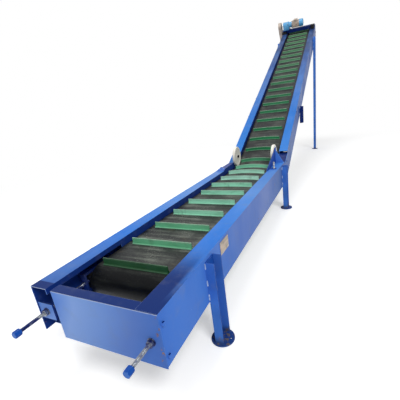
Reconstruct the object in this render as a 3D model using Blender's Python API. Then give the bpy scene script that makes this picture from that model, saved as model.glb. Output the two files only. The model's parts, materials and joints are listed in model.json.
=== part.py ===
"""Inclined cleated belt conveyor: a level feed section, a knee and a rising section with its drive.

Metres, +Z up. The belt runs along +Y, from the feed end up to the drive, and X is across. It is built
from the end plate at Y = 0, and then moved so that the origin is on the floor under its middle.
"""

import math

import bmesh
import bpy
from mathutils import Matrix, Vector

# Frame
FLANGE_HEIGHT = 0.535  # floor to the top of the level rails
RAIL_HEIGHT = 0.257
RAIL_FLANGE = 0.106
RAIL_FOOT = 0.045
SHEET = 0.004
LIP = 0.030
SKIRT = 0.052
SKIRT_START = 0.520
BELT_WIDTH = 0.500
BELT_SIDE_GAP = 0.0095
FEED_LENGTH = 2.760
INCLINE_DEG = 26.4
INCLINE_LENGTH = 5.290
KNEE_GAP_FEED = 0.030
KNEE_GAP_RISE = 0.215
END_PLATE_HEIGHT = 0.2645
END_PLATE_LEFT = 0.222
END_PLATE_LIP = 0.050
SPLICE_LENGTH = 0.300
SPLICE_HEIGHT = 0.190

# Belt
BELT_THICKNESS = 0.008
BELT_DROP = 0.046  # rail top to the carrying face
CLEAT_WIDTH = 0.420
CLEAT_HEIGHT = 0.040
CLEAT_THICKNESS = 0.007
CLEAT_FOOT = 0.026
CLEAT_FOOT_HEIGHT = 0.005
CLEAT_PITCH_WANTED = 0.254

# Pulleys and rollers
TAIL_PULLEY_RADIUS = 0.085
TAIL_PULLEY_Y = 0.320
HEAD_PULLEY_RADIUS = 0.085
HEAD_PULLEY_INSET = 0.115
PULLEY_FACE = 0.496
PULLEY_WALL = 0.006
SHAFT_RADIUS = 0.0175
HOLD_WHEEL_RADIUS = 0.122
KNEE_RADIUS = 0.640
HOLD_WHEEL_WIDTH = 0.030
HOLD_WHEEL_X = 0.2385
BEND_ROLLER_RADIUS = 0.055
BEND_ROLLER_FACE = 0.480
RETURN_ROLLER_RADIUS = 0.016
RETURN_ROLLER_WIDTH = 0.034
PIN_RADIUS = 0.006

# Take-up
TAKEUP_TRAVEL = 0.080
TAKEUP_BLOCK = (0.046, 0.100, 0.090)
TAKEUP_SCREW_RADIUS = 0.009
TAKEUP_SCREW_OUT = 0.150
SCREW_END_OUT = 0.004
SCREW_END_LENGTH = 0.030
TAKEUP_NUT_WIDTH = 0.030

# Supports
LEG_WIDTH = 0.100
LEG_DEPTH = 0.050
LEG_SHEET = 0.006
FOOT_RADIUS = 0.067
FOOT_THICKNESS = 0.008
FEED_LEG_Y = 0.465
KNEE_LEG_BACK = 0.170  # from the knee
HEAD_LEG_BACK = 0.648315  # from the head end, level
STUB_FORWARD = 1.510  # from the knee

# Drive
BEAM_BACK = 0.250  # from the head end to the beam
BEAM_SIZE = 0.070
GEARBOX_X = (-0.342, -0.202)
GEARBOX_HEIGHT = 0.160
GEARBOX_DEPTH = 0.140
MOTOR_RADIUS = 0.076
MOTOR_X = (-0.138, 0.030)
FAN_COVER_END = 0.118
DRIVE_BACK = 0.228
CHAIN_X = -0.418
CHAIN_WIDTH = 0.012
DRIVE_SPROCKET_RADIUS = 0.055
HEAD_SPROCKET_RADIUS = 0.080
CHAIN_HEIGHT = 0.014

GAP = 0.0003
RUNNING_GAP = 0.0010

HALF = BELT_WIDTH / 2 + BELT_SIDE_GAP + RAIL_FLANGE
INNER = HALF - RAIL_FLANGE
TOP = FLANGE_HEIGHT
SLOPE = math.radians(INCLINE_DEG)
KNEE_LEG_Y = FEED_LENGTH - KNEE_LEG_BACK
HEAD_LEG_Y = FEED_LENGTH + INCLINE_LENGTH * math.cos(SLOPE) - HEAD_LEG_BACK
STUB_Y = FEED_LENGTH + STUB_FORWARD
BEAM_ALONG = INCLINE_LENGTH - BEAM_BACK
DRIVE_ALONG = INCLINE_LENGTH - DRIVE_BACK
RISE = Matrix.Translation((0, FEED_LENGTH, TOP)) @ Matrix.Rotation(SLOPE, 4, "X")
LEVEL = Matrix.Translation((0, 0, TOP))

for old in list(bpy.data.objects):
    bpy.data.objects.remove(old, do_unlink=True)


# ---------------------------------------------------------------- materials
def paint(name, color, metallic, roughness):
    material = bpy.data.materials.new(name)
    material.use_nodes = True
    shader = material.node_tree.nodes["Principled BSDF"]
    shader.inputs["Base Color"].default_value = (*color, 1)
    shader.inputs["Metallic"].default_value = metallic
    shader.inputs["Roughness"].default_value = roughness
    material.diffuse_color = (*color, 1)
    return material


FRAME_BLUE = paint("frame_blue", (0.030, 0.150, 0.560), 0.0, 0.45)
DRIVE_BLUE = paint("drive_blue", (0.050, 0.300, 0.620), 0.0, 0.40)
ZINC = paint("zinc_steel", (0.620, 0.620, 0.600), 1.0, 0.35)
DARK_STEEL = paint("dark_steel", (0.060, 0.060, 0.065), 0.8, 0.55)
RUBBER = paint("belt_rubber", (0.045, 0.047, 0.045), 0.0, 0.75)
NYLON = paint("white_nylon", (0.800, 0.780, 0.720), 0.0, 0.40)
GUARD_BEIGE = paint("guard_beige", (0.420, 0.360, 0.290), 0.0, 0.60)
PLATE_METAL = paint("bare_plate", (0.480, 0.380, 0.300), 0.3, 0.50)


# ---------------------------------------------------------------- solids
def finish(name, mesh, material, matrix=None):
    solid = mesh.copy()
    if matrix is not None:
        solid.transform(matrix)
    obj = bpy.data.objects.new(name, solid)
    bpy.context.scene.collection.objects.link(obj)
    if material is not None:
        obj.data.materials.clear()
        obj.data.materials.append(material)
    return obj


def mesh_of(bm):
    bmesh.ops.recalc_face_normals(bm, faces=bm.faces)
    mesh = bpy.data.meshes.new("solid")
    bm.to_mesh(mesh)
    bm.free()
    return mesh


def box(x, y, z):
    bm = bmesh.new()
    corners = [bm.verts.new((a, b, c)) for a in x for b in y for c in z]
    for face in ((0, 1, 3, 2), (4, 6, 7, 5), (0, 4, 5, 1), (2, 3, 7, 6), (0, 2, 6, 4), (1, 5, 7, 3)):
        bm.faces.new([corners[i] for i in face])
    return mesh_of(bm)


def extrude(profile, span, axis):
    """A closed outline, pushed along an axis: for X the outline is (y, z), for Y (x, z), for Z (x, y)."""
    bm = bmesh.new()
    rings = []
    for end in span:
        ring = []
        for a, b in profile:
            point = {"X": (end, a, b), "Y": (a, end, b), "Z": (a, b, end)}[axis]
            ring.append(bm.verts.new(point))
        rings.append(ring)
    bm.faces.new(rings[0])
    bm.faces.new(list(reversed(rings[1])))
    count = len(profile)
    for i in range(count):
        j = (i + 1) % count
        bm.faces.new((rings[0][i], rings[1][i], rings[1][j], rings[0][j]))
    return mesh_of(bm)


def circle(radius, count, turn=0.0, centre=(0.0, 0.0)):
    points = []
    for i in range(count):
        angle = turn + 2 * math.pi * i / count
        points.append((centre[0] + radius * math.cos(angle), centre[1] + radius * math.sin(angle)))
    return points


def lathe(steps, count, centre=(0.0, 0.0), turn=0.0):
    """A turned piece along X: steps are (x, radius), closed with flat ends on the axis."""
    bm = bmesh.new()
    rings = []
    for x, radius in steps:
        rings.append([bm.verts.new((x, *p)) for p in circle(radius, count, turn, centre)])
    bm.faces.new(rings[0])
    bm.faces.new(rings[-1])
    for first, second in zip(rings, rings[1:]):
        for i in range(count):
            j = (i + 1) % count
            bm.faces.new((first[i], first[j], second[j], second[i]))
    return mesh_of(bm)


def rod(start, end, radius, count=16, turn=0.0):
    start = Vector(start)
    direction = Vector(end) - start
    mesh = lathe(((0, radius), (direction.length, radius)), count, turn=turn)
    turned = Vector((1, 0, 0)).rotation_difference(direction).to_matrix().to_4x4()
    mesh.transform(Matrix.Translation(start) @ turned)
    return mesh


def combine(mesh, others, operation):
    base = finish("work", mesh, None)
    helpers = [finish("helper", other, None) for other in others]
    for helper in helpers:
        modifier = base.modifiers.new("step", "BOOLEAN")
        modifier.operation = operation
        modifier.solver = "EXACT"
        modifier.object = helper
    graph = bpy.context.evaluated_depsgraph_get()
    result = bpy.data.meshes.new_from_object(base.evaluated_get(graph))
    for obj in [base, *helpers]:
        bpy.data.objects.remove(obj, do_unlink=True)
    return result


def union(mesh, *others):
    return combine(mesh, others, "UNION")


def cut(mesh, *others):
    return combine(mesh, others, "DIFFERENCE")


def mirrored(mesh):
    copy = mesh.copy()
    copy.transform(Matrix.Scale(-1, 4, (1, 0, 0)))
    copy.flip_normals()
    return copy


def on_axis(obj, origin):
    """Puts the object's own origin on its joint axis."""
    obj.data.transform(Matrix.Translation(-Vector(origin)))
    obj.location = origin
    return obj


# ---------------------------------------------------------------- belt path
def rise_point(along, normal):
    """(Y, Z) of a point given along the incline and out of its rail tops."""
    point = RISE @ Vector((0, along, normal))
    return point.y, point.z


INNER_TOP = -BELT_DROP - BELT_THICKNESS
TAIL_AXIS = (TAIL_PULLEY_Y, TOP + INNER_TOP - TAIL_PULLEY_RADIUS - GAP)
HEAD_ALONG = INCLINE_LENGTH - HEAD_PULLEY_INSET
HEAD_AXIS = rise_point(HEAD_ALONG, INNER_TOP - HEAD_PULLEY_RADIUS - GAP)
KNEE_AXIS = (
    FEED_LENGTH + (BELT_DROP - KNEE_RADIUS - GAP) * math.tan(SLOPE / 2),
    TOP - BELT_DROP + KNEE_RADIUS + GAP,
)
WHEEL_AXIS = (
    KNEE_AXIS[0] + (KNEE_RADIUS - HOLD_WHEEL_RADIUS) * math.sin(SLOPE / 2),
    KNEE_AXIS[1] - (KNEE_RADIUS - HOLD_WHEEL_RADIUS) * math.cos(SLOPE / 2),
)
RETURN_LEVEL = TAIL_AXIS[1] - TAIL_PULLEY_RADIUS - GAP
BEND_AXIS = (
    FEED_LENGTH - (RETURN_LEVEL + BEND_ROLLER_RADIUS + GAP - TOP) * math.tan(SLOPE / 2),
    RETURN_LEVEL + BEND_ROLLER_RADIUS + GAP,
)

# Circles the inner face goes round, with +1 where the belt turns round the outside of a pulley.
TURNS = (
    (TAIL_AXIS, TAIL_PULLEY_RADIUS + GAP, 1),
    (KNEE_AXIS, KNEE_RADIUS + GAP + BELT_THICKNESS, -1),
    (HEAD_AXIS, HEAD_PULLEY_RADIUS + GAP, 1),
    (BEND_AXIS, BEND_ROLLER_RADIUS + GAP, 1),
)
ARC_STEPS = 14


def tangent(first, second):
    """The straight run between two circles, as its two ends; the loop goes clockwise seen from +X."""
    (y1, z1), r1, s1 = first
    (y2, z2), r2, s2 = second
    dy, dz = y2 - y1, z2 - z1
    length = math.hypot(dy, dz)
    lean = math.asin((s1 * r1 - s2 * r2) / length)
    heading = math.atan2(dz, dy) + math.pi / 2 - lean
    normal = (math.cos(heading), math.sin(heading))
    start = (y1 + s1 * r1 * normal[0], z1 + s1 * r1 * normal[1])
    end = (y2 + s2 * r2 * normal[0], z2 + s2 * r2 * normal[1])
    return start, end, normal


RUNS = []
for i in range(len(TURNS)):
    RUNS.append(tangent(TURNS[i], TURNS[(i + 1) % len(TURNS)]))


def belt_line():
    """Points of the inner face in order, each with the outward direction there."""
    points = []
    for i in range(len(TURNS)):
        (cy, cz), radius, side = TURNS[i]
        before = RUNS[i - 1][2]
        after = RUNS[i][2]
        begin = math.atan2(before[1], before[0])
        turn = math.atan2(after[1], after[0]) - begin
        while turn * side > 1e-9:
            turn -= 2 * math.pi * side
        while turn * side < -2 * math.pi:
            turn += 2 * math.pi * side
        steps = ARC_STEPS * 2 if abs(turn) > 1.5 else ARC_STEPS
        for k in range(steps + 1):
            angle = begin + turn * k / steps
            out = (math.cos(angle), math.sin(angle))
            points.append(((cy + side * radius * out[0], cz + side * radius * out[1]), out))
    return points


LINE = belt_line()


def along_belt():
    """Lengths along the inner face at each point, and the whole length."""
    lengths = [0.0]
    for i in range(len(LINE)):
        a = LINE[i][0]
        b = LINE[(i + 1) % len(LINE)][0]
        lengths.append(lengths[-1] + math.dist(a, b))
    return lengths


LENGTHS = along_belt()
CLEAT_COUNT = round(LENGTHS[-1] / CLEAT_PITCH_WANTED)
CLEAT_PITCH = LENGTHS[-1] / CLEAT_COUNT


def at_length(distance):
    """(point, outward direction) on the inner face at this distance."""
    distance = distance % LENGTHS[-1]
    for i in range(len(LINE)):
        if LENGTHS[i + 1] >= distance and LENGTHS[i + 1] > LENGTHS[i]:
            part = (distance - LENGTHS[i]) / (LENGTHS[i + 1] - LENGTHS[i])
            (a, na), (b, nb) = LINE[i], LINE[(i + 1) % len(LINE)]
            point = (a[0] + part * (b[0] - a[0]), a[1] + part * (b[1] - a[1]))
            out = Vector((na[0] + part * (nb[0] - na[0]), na[1] + part * (nb[1] - na[1])))
            out.normalize()
            return point, out
    return LINE[0]


def belt_band():
    inner = [point for point, out in LINE]
    outer = [(p[0] + BELT_THICKNESS * out[0], p[1] + BELT_THICKNESS * out[1]) for p, out in LINE]
    bm = bmesh.new()
    half = BELT_WIDTH / 2
    rings = []
    for x, loop in ((-half, inner), (-half, outer), (half, outer), (half, inner)):
        rings.append([bm.verts.new((x, *p)) for p in loop])
    count = len(inner)
    for k in range(4):
        first, second = rings[k], rings[(k + 1) % 4]
        for i in range(count):
            j = (i + 1) % count
            bm.faces.new((first[i], first[j], second[j], second[i]))
    return mesh_of(bm)


CLEAT_FIRST = 0.016


def cleats():
    """Every cleat in one mesh: an upright blade on a low foot, square to the belt."""
    sink = BELT_THICKNESS * 0.5
    foot = CLEAT_FOOT / 2
    blade = CLEAT_THICKNESS / 2
    low = BELT_THICKNESS + CLEAT_FOOT_HEIGHT
    high = BELT_THICKNESS + CLEAT_HEIGHT
    outline = ((-foot, sink), (-foot, low), (-blade, low), (-blade, high))
    outline = (*outline, (blade, high), (blade, low), (foot, low), (foot, sink))
    bm = bmesh.new()
    for n in range(CLEAT_COUNT):
        point, out = at_length(CLEAT_FIRST + n * CLEAT_PITCH)
        along = Vector((out[1], -out[0]))
        rings = []
        for x in (-CLEAT_WIDTH / 2, CLEAT_WIDTH / 2):
            ring = []
            for a, b in outline:
                y = point[0] + a * along[0] + b * out[0]
                z = point[1] + a * along[1] + b * out[1]
                ring.append(bm.verts.new((x, y, z)))
            rings.append(ring)
        bm.faces.new(rings[0])
        bm.faces.new(list(reversed(rings[1])))
        for i in range(len(outline)):
            j = (i + 1) % len(outline)
            bm.faces.new((rings[0][i], rings[1][i], rings[1][j], rings[0][j]))
    return mesh_of(bm)


finish("belt", union(belt_band(), cleats()), RUBBER)


# ---------------------------------------------------------------- side rails
def rail_outline(lip):
    """The folded right-hand rail in (x, z), rail top at 0."""
    return (
        (HALF, 0),
        (HALF, -RAIL_HEIGHT),
        (HALF - RAIL_FOOT, -RAIL_HEIGHT),
        (HALF - RAIL_FOOT, -RAIL_HEIGHT + SHEET),
        (HALF - SHEET, -RAIL_HEIGHT + SHEET),
        (HALF - SHEET, -SHEET),
        (INNER + SHEET, -SHEET),
        (INNER + SHEET, -lip),
        (INNER, -lip),
        (INNER, 0),
    )


def knee_wedge(matrix, along, direction):
    """A block that trims rail ends on the bisecting plane of the knee."""
    far = 0.8 * direction
    lean = math.tan(SLOPE / 2)
    if direction > 0:
        near = ((along - lean * 0.4, 0.4), (along + lean * 0.6, -0.6))
        outline = (*near, (along + far, -0.6), (along + far, 0.4))
    else:
        near = ((along - lean * 0.6, -0.6), (along + lean * 0.4, 0.4))
        outline = (*near, (along + far, 0.4), (along + far, -0.6))
    mesh = extrude(outline, (-1, 1), "X")
    mesh.transform(matrix)
    return mesh


BOLT_RADIUS = 0.011
BOLT_HEAD = 0.008


def side_bolts(places, outward=HALF):
    """Hexagon heads standing on the outside of a right-hand web."""
    heads = []
    for y, z in places:
        heads.append(lathe(((outward - 0.001, BOLT_RADIUS), (outward + BOLT_HEAD, BOLT_RADIUS)), 6, (y, z)))
    return heads


def return_pin(y, z):
    """The fixed pin that a return roller turns on, from the web or, below it, from a hanger."""
    inner_end = BELT_WIDTH / 2 - RETURN_ROLLER_WIDTH - 0.004
    pin = lathe(((inner_end, PIN_RADIUS), (HALF - 0.001, PIN_RADIUS)), 12, (y, z))
    web = (HALF - SHEET * 0.75, HALF - SHEET * 0.25)
    hanger = box(web, (y - 0.012, y + 0.012), (z - PIN_RADIUS - 0.001, z + PIN_RADIUS + 0.020))
    return union(pin, hanger)


RETURN_DROP = -BELT_DROP - 2 * BELT_THICKNESS - 2 * TAIL_PULLEY_RADIUS - 2 * GAP
FEED_RETURNS = (1.500,)
RISE_RETURNS = (1.350, 3.300)


def return_height(along):
    """How far under the rail tops the belt's outer return face is, on the incline."""
    start, end, normal = RUNS[2]
    back = RISE.inverted()
    a = back @ Vector((0, start[0] + BELT_THICKNESS * normal[0], start[1] + BELT_THICKNESS * normal[1]))
    b = back @ Vector((0, end[0] + BELT_THICKNESS * normal[0], end[1] + BELT_THICKNESS * normal[1]))
    return a.z + (b.z - a.z) * (along - a.y) / (b.y - a.y)


def roller_centre_feed():
    return RETURN_DROP - RETURN_ROLLER_RADIUS - GAP


def roller_centre_rise(along):
    return return_height(along) - RETURN_ROLLER_RADIUS - GAP


def feed_rail():
    rail = extrude(rail_outline(SKIRT), (SHEET + GAP, FEED_LENGTH + 0.3), "Y")
    short = box((INNER - 0.01, INNER + 2 * SHEET), (-0.1, SKIRT_START), (-SKIRT - 0.01, -LIP))
    trim = knee_wedge(Matrix.Identity(4), FEED_LENGTH - GAP, 1)
    window = box((INNER - 0.02, HALF + 0.02), (FEED_LENGTH - KNEE_GAP_FEED, FEED_LENGTH + 0.3), (-LIP, 0.01))
    corner = box(
        (HALF - RAIL_FOOT - 0.01, HALF - SHEET),
        (-0.1, END_PLATE_LIP + 0.006),
        (-RAIL_HEIGHT - 0.01, -RAIL_HEIGHT + SHEET + 0.002),
    )
    rail = cut(rail, short, trim, corner)
    pins = [return_pin(y, roller_centre_feed()) for y in FEED_RETURNS]
    return cut(union(rail, *pins), window)


def rise_rail():
    rail = extrude(rail_outline(SKIRT), (-0.3, INCLINE_LENGTH), "Y")
    trim = knee_wedge(Matrix.Identity(4), GAP, -1)
    shaft_hole = lathe(
        ((INNER - 0.05, SHAFT_RADIUS + 0.004), (HALF + 0.05, SHAFT_RADIUS + 0.004)),
        24,
        (HEAD_ALONG, INNER_TOP - HEAD_PULLEY_RADIUS - GAP),
    )
    rail = cut(rail, trim, shaft_hole)
    pins = [return_pin(s, roller_centre_rise(s)) for s in RISE_RETURNS]
    return union(rail, *pins)


FEED_RAIL = feed_rail()
RISE_RAIL = rise_rail()
FEED_BOLTS = side_bolts(((0.022, -0.058), (0.022, -0.215)))
KNEE_BOLTS_FEED = side_bolts(((FEED_LENGTH - 0.095, -0.075), (FEED_LENGTH - 0.095, -0.175)))
HIGH_BOLTS = ((1.200, -0.014), (1.790, -0.014), (4.240, -0.014))
RISE_BOLTS = side_bolts(((0.100, -0.075), (0.100, -0.175), *HIGH_BOLTS))
TAKEUP_BOLTS = side_bolts(((0.395, -0.012), (0.490, -0.012)))

feed_right = union(FEED_RAIL, *FEED_BOLTS, *KNEE_BOLTS_FEED)
feed_left = mirrored(union(FEED_RAIL, *TAKEUP_BOLTS, *KNEE_BOLTS_FEED))
rise_side = union(RISE_RAIL, *RISE_BOLTS)
rise_window = box((INNER - 0.02, HALF + 0.02), (-0.3, KNEE_GAP_RISE), (-LIP, 0.05))
finish("rail_feed_right", feed_right, FRAME_BLUE, LEVEL)
finish("rail_incline_right", cut(rise_side.copy(), rise_window), FRAME_BLUE, RISE)
finish("rail_incline_left", mirrored(rise_side), FRAME_BLUE, RISE)


# ---------------------------------------------------------------- feed end
TAKEUP_X = (INNER + SHEET + HALF - SHEET) / 2
TAIL_Z = TAIL_AXIS[1] - TOP

plate = extrude(
    ((HALF, 0), (HALF, -END_PLATE_HEIGHT), (-END_PLATE_LEFT, -END_PLATE_HEIGHT), (-END_PLATE_LEFT, 0)),
    (0, SHEET),
    "Y",
)
top_lip = box((-END_PLATE_LEFT, INNER - GAP), (0, END_PLATE_LIP), (-SHEET, 0))
left_tab = box((-END_PLATE_LEFT, -END_PLATE_LEFT + SHEET), (0, END_PLATE_LIP), (-END_PLATE_HEIGHT, 0))
right_tab = box(
    (HALF - 2 * SHEET - GAP, HALF - SHEET - GAP),
    (0.001, END_PLATE_LIP),
    (-END_PLATE_HEIGHT, -SHEET - GAP),
)
screw_hole = rod((TAKEUP_X, -0.1, TAIL_Z), (TAKEUP_X, 0.1, TAIL_Z), TAKEUP_SCREW_RADIUS + RUNNING_GAP)
end_plate = cut(union(plate, top_lip, left_tab, right_tab), screw_hole)
finish("end_plate", end_plate, FRAME_BLUE, LEVEL)

anchor_x = (-HALF + SHEET / 2, -INNER - SHEET)
anchor = box(anchor_x, (0.010, 0.010 + 2 * SHEET), (TAIL_Z - 0.045, TAIL_Z + 0.045))
anchor_hole = rod((-TAKEUP_X, -0.1, TAIL_Z), (-TAKEUP_X, 0.1, TAIL_Z), TAKEUP_SCREW_RADIUS + RUNNING_GAP)
finish("rail_feed_left", cut(union(feed_left, anchor), anchor_hole), FRAME_BLUE, LEVEL)

NUT = TAKEUP_NUT_WIDTH / 2 / math.cos(math.pi / 6)
BLOCK_X, BLOCK_Y, BLOCK_Z = TAKEUP_BLOCK
FRAME_Y = (TAIL_PULLEY_Y - BLOCK_Y / 2 - 0.030, TAIL_PULLEY_Y + BLOCK_Y / 2 + TAKEUP_TRAVEL + 0.025)
FRAME_BAR = 0.012


def takeup_frame():
    """A bar frame that the bearing block slides in, with two lugs to the web."""
    half = BLOCK_X / 2 - 0.006
    z = BLOCK_Z / 2 + RUNNING_GAP
    x = (TAKEUP_X - half, TAKEUP_X + half)
    outer = box(x, FRAME_Y, (-z - FRAME_BAR, z + FRAME_BAR))
    inner = box((x[0] - 0.01, x[1] + 0.01), (FRAME_Y[0] + FRAME_BAR, FRAME_Y[1] - FRAME_BAR), (-z, z))
    lugs = []
    for y in (FRAME_Y[0] + 0.020, FRAME_Y[1] - 0.020):
        for side in (-1, 1):
            middle = side * (z + FRAME_BAR / 2)
            lugs.append(
                box(
                    (x[1] - 0.002, HALF - SHEET - GAP),
                    (y - 0.012, y + 0.012),
                    (middle - FRAME_BAR / 2 + 0.001, middle + FRAME_BAR / 2 - 0.001),
                )
            )
    hole = rod((TAKEUP_X, -0.1, 0), (TAKEUP_X, FRAME_Y[0] + 0.03, 0), TAKEUP_SCREW_RADIUS + RUNNING_GAP)
    return cut(union(cut(outer, inner), *lugs), hole)


def takeup_block():
    body = box(
        (TAKEUP_X - BLOCK_X / 2, TAKEUP_X + BLOCK_X / 2),
        (TAIL_PULLEY_Y - BLOCK_Y / 2, TAIL_PULLEY_Y + BLOCK_Y / 2),
        (-BLOCK_Z / 2, BLOCK_Z / 2),
    )
    bore = lathe(((0.2, SHAFT_RADIUS + GAP), (0.5, SHAFT_RADIUS + GAP)), 24, (TAIL_PULLEY_Y, 0))
    return cut(body, bore)


def takeup_screw():
    """Threaded rod held in the bearing block, with its hexagon end outside the plate."""
    start = TAIL_PULLEY_Y - BLOCK_Y / 2 - GAP
    bar = rod((TAKEUP_X, start, 0), (TAKEUP_X, -TAKEUP_SCREW_OUT, 0), TAKEUP_SCREW_RADIUS)
    tip = -TAKEUP_SCREW_OUT - SCREW_END_OUT
    end = rod((TAKEUP_X, tip + SCREW_END_LENGTH, 0), (TAKEUP_X, tip, 0), NUT, 6)
    return union(bar, end)


def takeup_nut():
    """Hexagon nut with its washer, bearing on the plate."""
    washer = rod((TAKEUP_X, -GAP, 0), (TAKEUP_X, -0.0035, 0), NUT * 1.15, 24)
    nut = rod((TAKEUP_X, -0.003, 0), (TAKEUP_X, -0.020, 0), NUT, 6)
    bore = rod((TAKEUP_X, -0.1, 0), (TAKEUP_X, 0.1, 0), TAKEUP_SCREW_RADIUS + GAP)
    return cut(union(washer, nut), bore)


AT_TAIL = Matrix.Translation((0, 0, TAIL_AXIS[1]))
for side, flip in (("right", False), ("left", True)):
    sign = -1 if flip else 1
    for name, mesh, material in (
        ("takeup_frame", takeup_frame(), FRAME_BLUE),
        ("takeup_block", takeup_block(), DARK_STEEL),
        ("takeup_screw", takeup_screw(), ZINC),
        ("takeup_nut", takeup_nut(), ZINC),
    ):
        mesh = mirrored(mesh) if flip else mesh
        if name == "takeup_nut" and flip:
            mesh.transform(Matrix.Translation((0, 0.010, 0)))
        obj = finish(name + "_" + side, mesh, material, AT_TAIL)
        if name in ("takeup_screw", "takeup_nut"):
            on_axis(obj, (sign * TAKEUP_X, 0, TAIL_AXIS[1]))


# ---------------------------------------------------------------- turning pieces
def drum(radius, left_end, right_end):
    """A drum with open recessed ends, a plate web at each end and a through shaft."""
    face = PULLEY_FACE / 2
    recess = 0.020
    shell = lathe(((-face, radius), (face, radius)), 48)
    pockets = []
    for end in (-face, face):
        inward = -recess if end > 0 else recess
        inside = radius - PULLEY_WALL
        pockets.append(lathe(sorted(((end + inward, inside), (end - inward, inside))), 32))
    shaft = lathe(((left_end, SHAFT_RADIUS), (right_end, SHAFT_RADIUS)), 24)
    return union(cut(shell, *pockets), shaft)


SHAFT_END = TAKEUP_X + BLOCK_X / 2
tail = drum(TAIL_PULLEY_RADIUS, -SHAFT_END, SHAFT_END)
tail_pulley = finish("tail_pulley", tail, DARK_STEEL, Matrix.Translation((0, *TAIL_AXIS)))
on_axis(tail_pulley, (0, *TAIL_AXIS))

BEARING_DEPTH = 0.040
head = drum(HEAD_PULLEY_RADIUS, CHAIN_X - 0.022, HALF + 0.010)
head_pulley = finish("head_pulley", head, DARK_STEEL, Matrix.Translation((0, *HEAD_AXIS)))
on_axis(head_pulley, (0, *HEAD_AXIS))

roller_half = BEND_ROLLER_FACE / 2
bend = lathe(((-roller_half, BEND_ROLLER_RADIUS), (roller_half, BEND_ROLLER_RADIUS)), 32)
bend_bore = lathe(((-0.5, PIN_RADIUS * 2 + GAP), (0.5, PIN_RADIUS * 2 + GAP)), 16)
bend_roller = finish("bend_roller", cut(bend, bend_bore), DARK_STEEL, Matrix.Translation((0, *BEND_AXIS)))
on_axis(bend_roller, (0, *BEND_AXIS))
SPLICE_OUT = HALF - SHEET - GAP
axle_end = SPLICE_OUT - SHEET - GAP
bend_axle = lathe(((-axle_end, PIN_RADIUS * 2), (axle_end, PIN_RADIUS * 2)), 16)
finish("bend_axle", bend_axle, ZINC, Matrix.Translation((0, *BEND_AXIS)))


def return_roller():
    face = BELT_WIDTH / 2
    body = lathe(
        ((face - RETURN_ROLLER_WIDTH, RETURN_ROLLER_RADIUS), (face, RETURN_ROLLER_RADIUS)), 24
    )
    bore = lathe(((0.1, PIN_RADIUS + GAP), (0.5, PIN_RADIUS + GAP)), 12)
    return cut(body, bore)


ROLLER_PLACES = []
for y in FEED_RETURNS:
    ROLLER_PLACES.append((y, TOP + roller_centre_feed()))
for s in RISE_RETURNS:
    ROLLER_PLACES.append(rise_point(s, roller_centre_rise(s)))
for number, place in enumerate(ROLLER_PLACES, 1):
    for side, flip in (("right", False), ("left", True)):
        mesh = mirrored(return_roller()) if flip else return_roller()
        name = "return_roller_" + side + "_" + str(number)
        obj = finish(name, mesh, NYLON, Matrix.Translation((0, *place)))
        on_axis(obj, (0, *place))


# ---------------------------------------------------------------- knee
def splice():
    """The plate inside the webs that ties the two sections together at the knee."""
    low, high = -0.034 - SPLICE_HEIGHT, -0.034
    half = SPLICE_LENGTH / 2
    lean = math.tan(SLOPE / 2)
    level = Matrix.Identity(4)
    turn = Matrix.Translation((0, FEED_LENGTH, 0)) @ Matrix.Rotation(SLOPE, 4, "X")

    def at(matrix, y, z):
        point = matrix @ Vector((0, y, z))
        return point.y, point.z

    outline = (
        at(level, FEED_LENGTH - half, high),
        at(level, FEED_LENGTH - lean * high, high),
        at(turn, half, high),
        at(turn, half, low),
        at(level, FEED_LENGTH - lean * low, low),
        at(level, FEED_LENGTH - half, low),
    )
    upright = extrude(outline, (SPLICE_OUT - SHEET, SPLICE_OUT), "X")
    ledge_half = KNEE_GAP_RISE + 0.030
    ledge_high, ledge_low = -0.032 - SHEET, -0.032 - 2 * SHEET
    ledge = (
        at(level, FEED_LENGTH - half, ledge_high),
        at(level, FEED_LENGTH - lean * ledge_high, ledge_high),
        at(turn, ledge_half, ledge_high),
        at(turn, ledge_half, ledge_low),
        at(level, FEED_LENGTH - lean * ledge_low, ledge_low),
        at(level, FEED_LENGTH - half, ledge_low),
    )
    shelf = extrude(ledge, (INNER + SHEET + GAP, SPLICE_OUT), "X")
    return union(upright, shelf)


finish("splice_right", splice(), FRAME_BLUE, LEVEL)
finish("splice_left", mirrored(splice()), FRAME_BLUE, LEVEL)


def hold_wheel():
    half = HOLD_WHEEL_WIDTH / 2
    disc = lathe(
        (
            (HOLD_WHEEL_X - half, HOLD_WHEEL_RADIUS - 0.003),
            (HOLD_WHEEL_X - half + 0.003, HOLD_WHEEL_RADIUS),
            (HOLD_WHEEL_X + half - 0.003, HOLD_WHEEL_RADIUS),
            (HOLD_WHEEL_X + half, HOLD_WHEEL_RADIUS - 0.003),
        ),
        56,
    )
    bore = lathe(((0.1, 0.010 + GAP), (0.5, 0.010 + GAP)), 16)
    return cut(disc, bore)


BRACKET_X = HOLD_WHEEL_X + HOLD_WHEEL_WIDTH / 2 + 0.004
BRACKET_SHEET = 0.006
BRACKET_RISE = 0.178
BRACKET_REACH = 0.490
STUD_X = HALF - RAIL_FLANGE / 2
STUD_Y = WHEEL_AXIS[0] - 0.372


def hold_axle(outer):
    """The wheel's axle with its head inside and its nut outside, welded through the plate."""
    left = HOLD_WHEEL_X - HOLD_WHEEL_WIDTH / 2
    bar = lathe(((left - 0.010, 0.010), (outer + 0.016, 0.010)), 16, WHEEL_AXIS)
    head = lathe(((left - 0.014, 0.017), (left - 0.002, 0.017)), 6, WHEEL_AXIS)
    nut = lathe(((outer - 0.001, 0.017), (outer + 0.012, 0.017)), 6, WHEEL_AXIS)
    return union(bar, head, nut)


STUD_HOLE = rod((STUD_X, STUD_Y, TOP - 0.1), (STUD_X, STUD_Y, TOP + 0.1), 0.008 + RUNNING_GAP)


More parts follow.
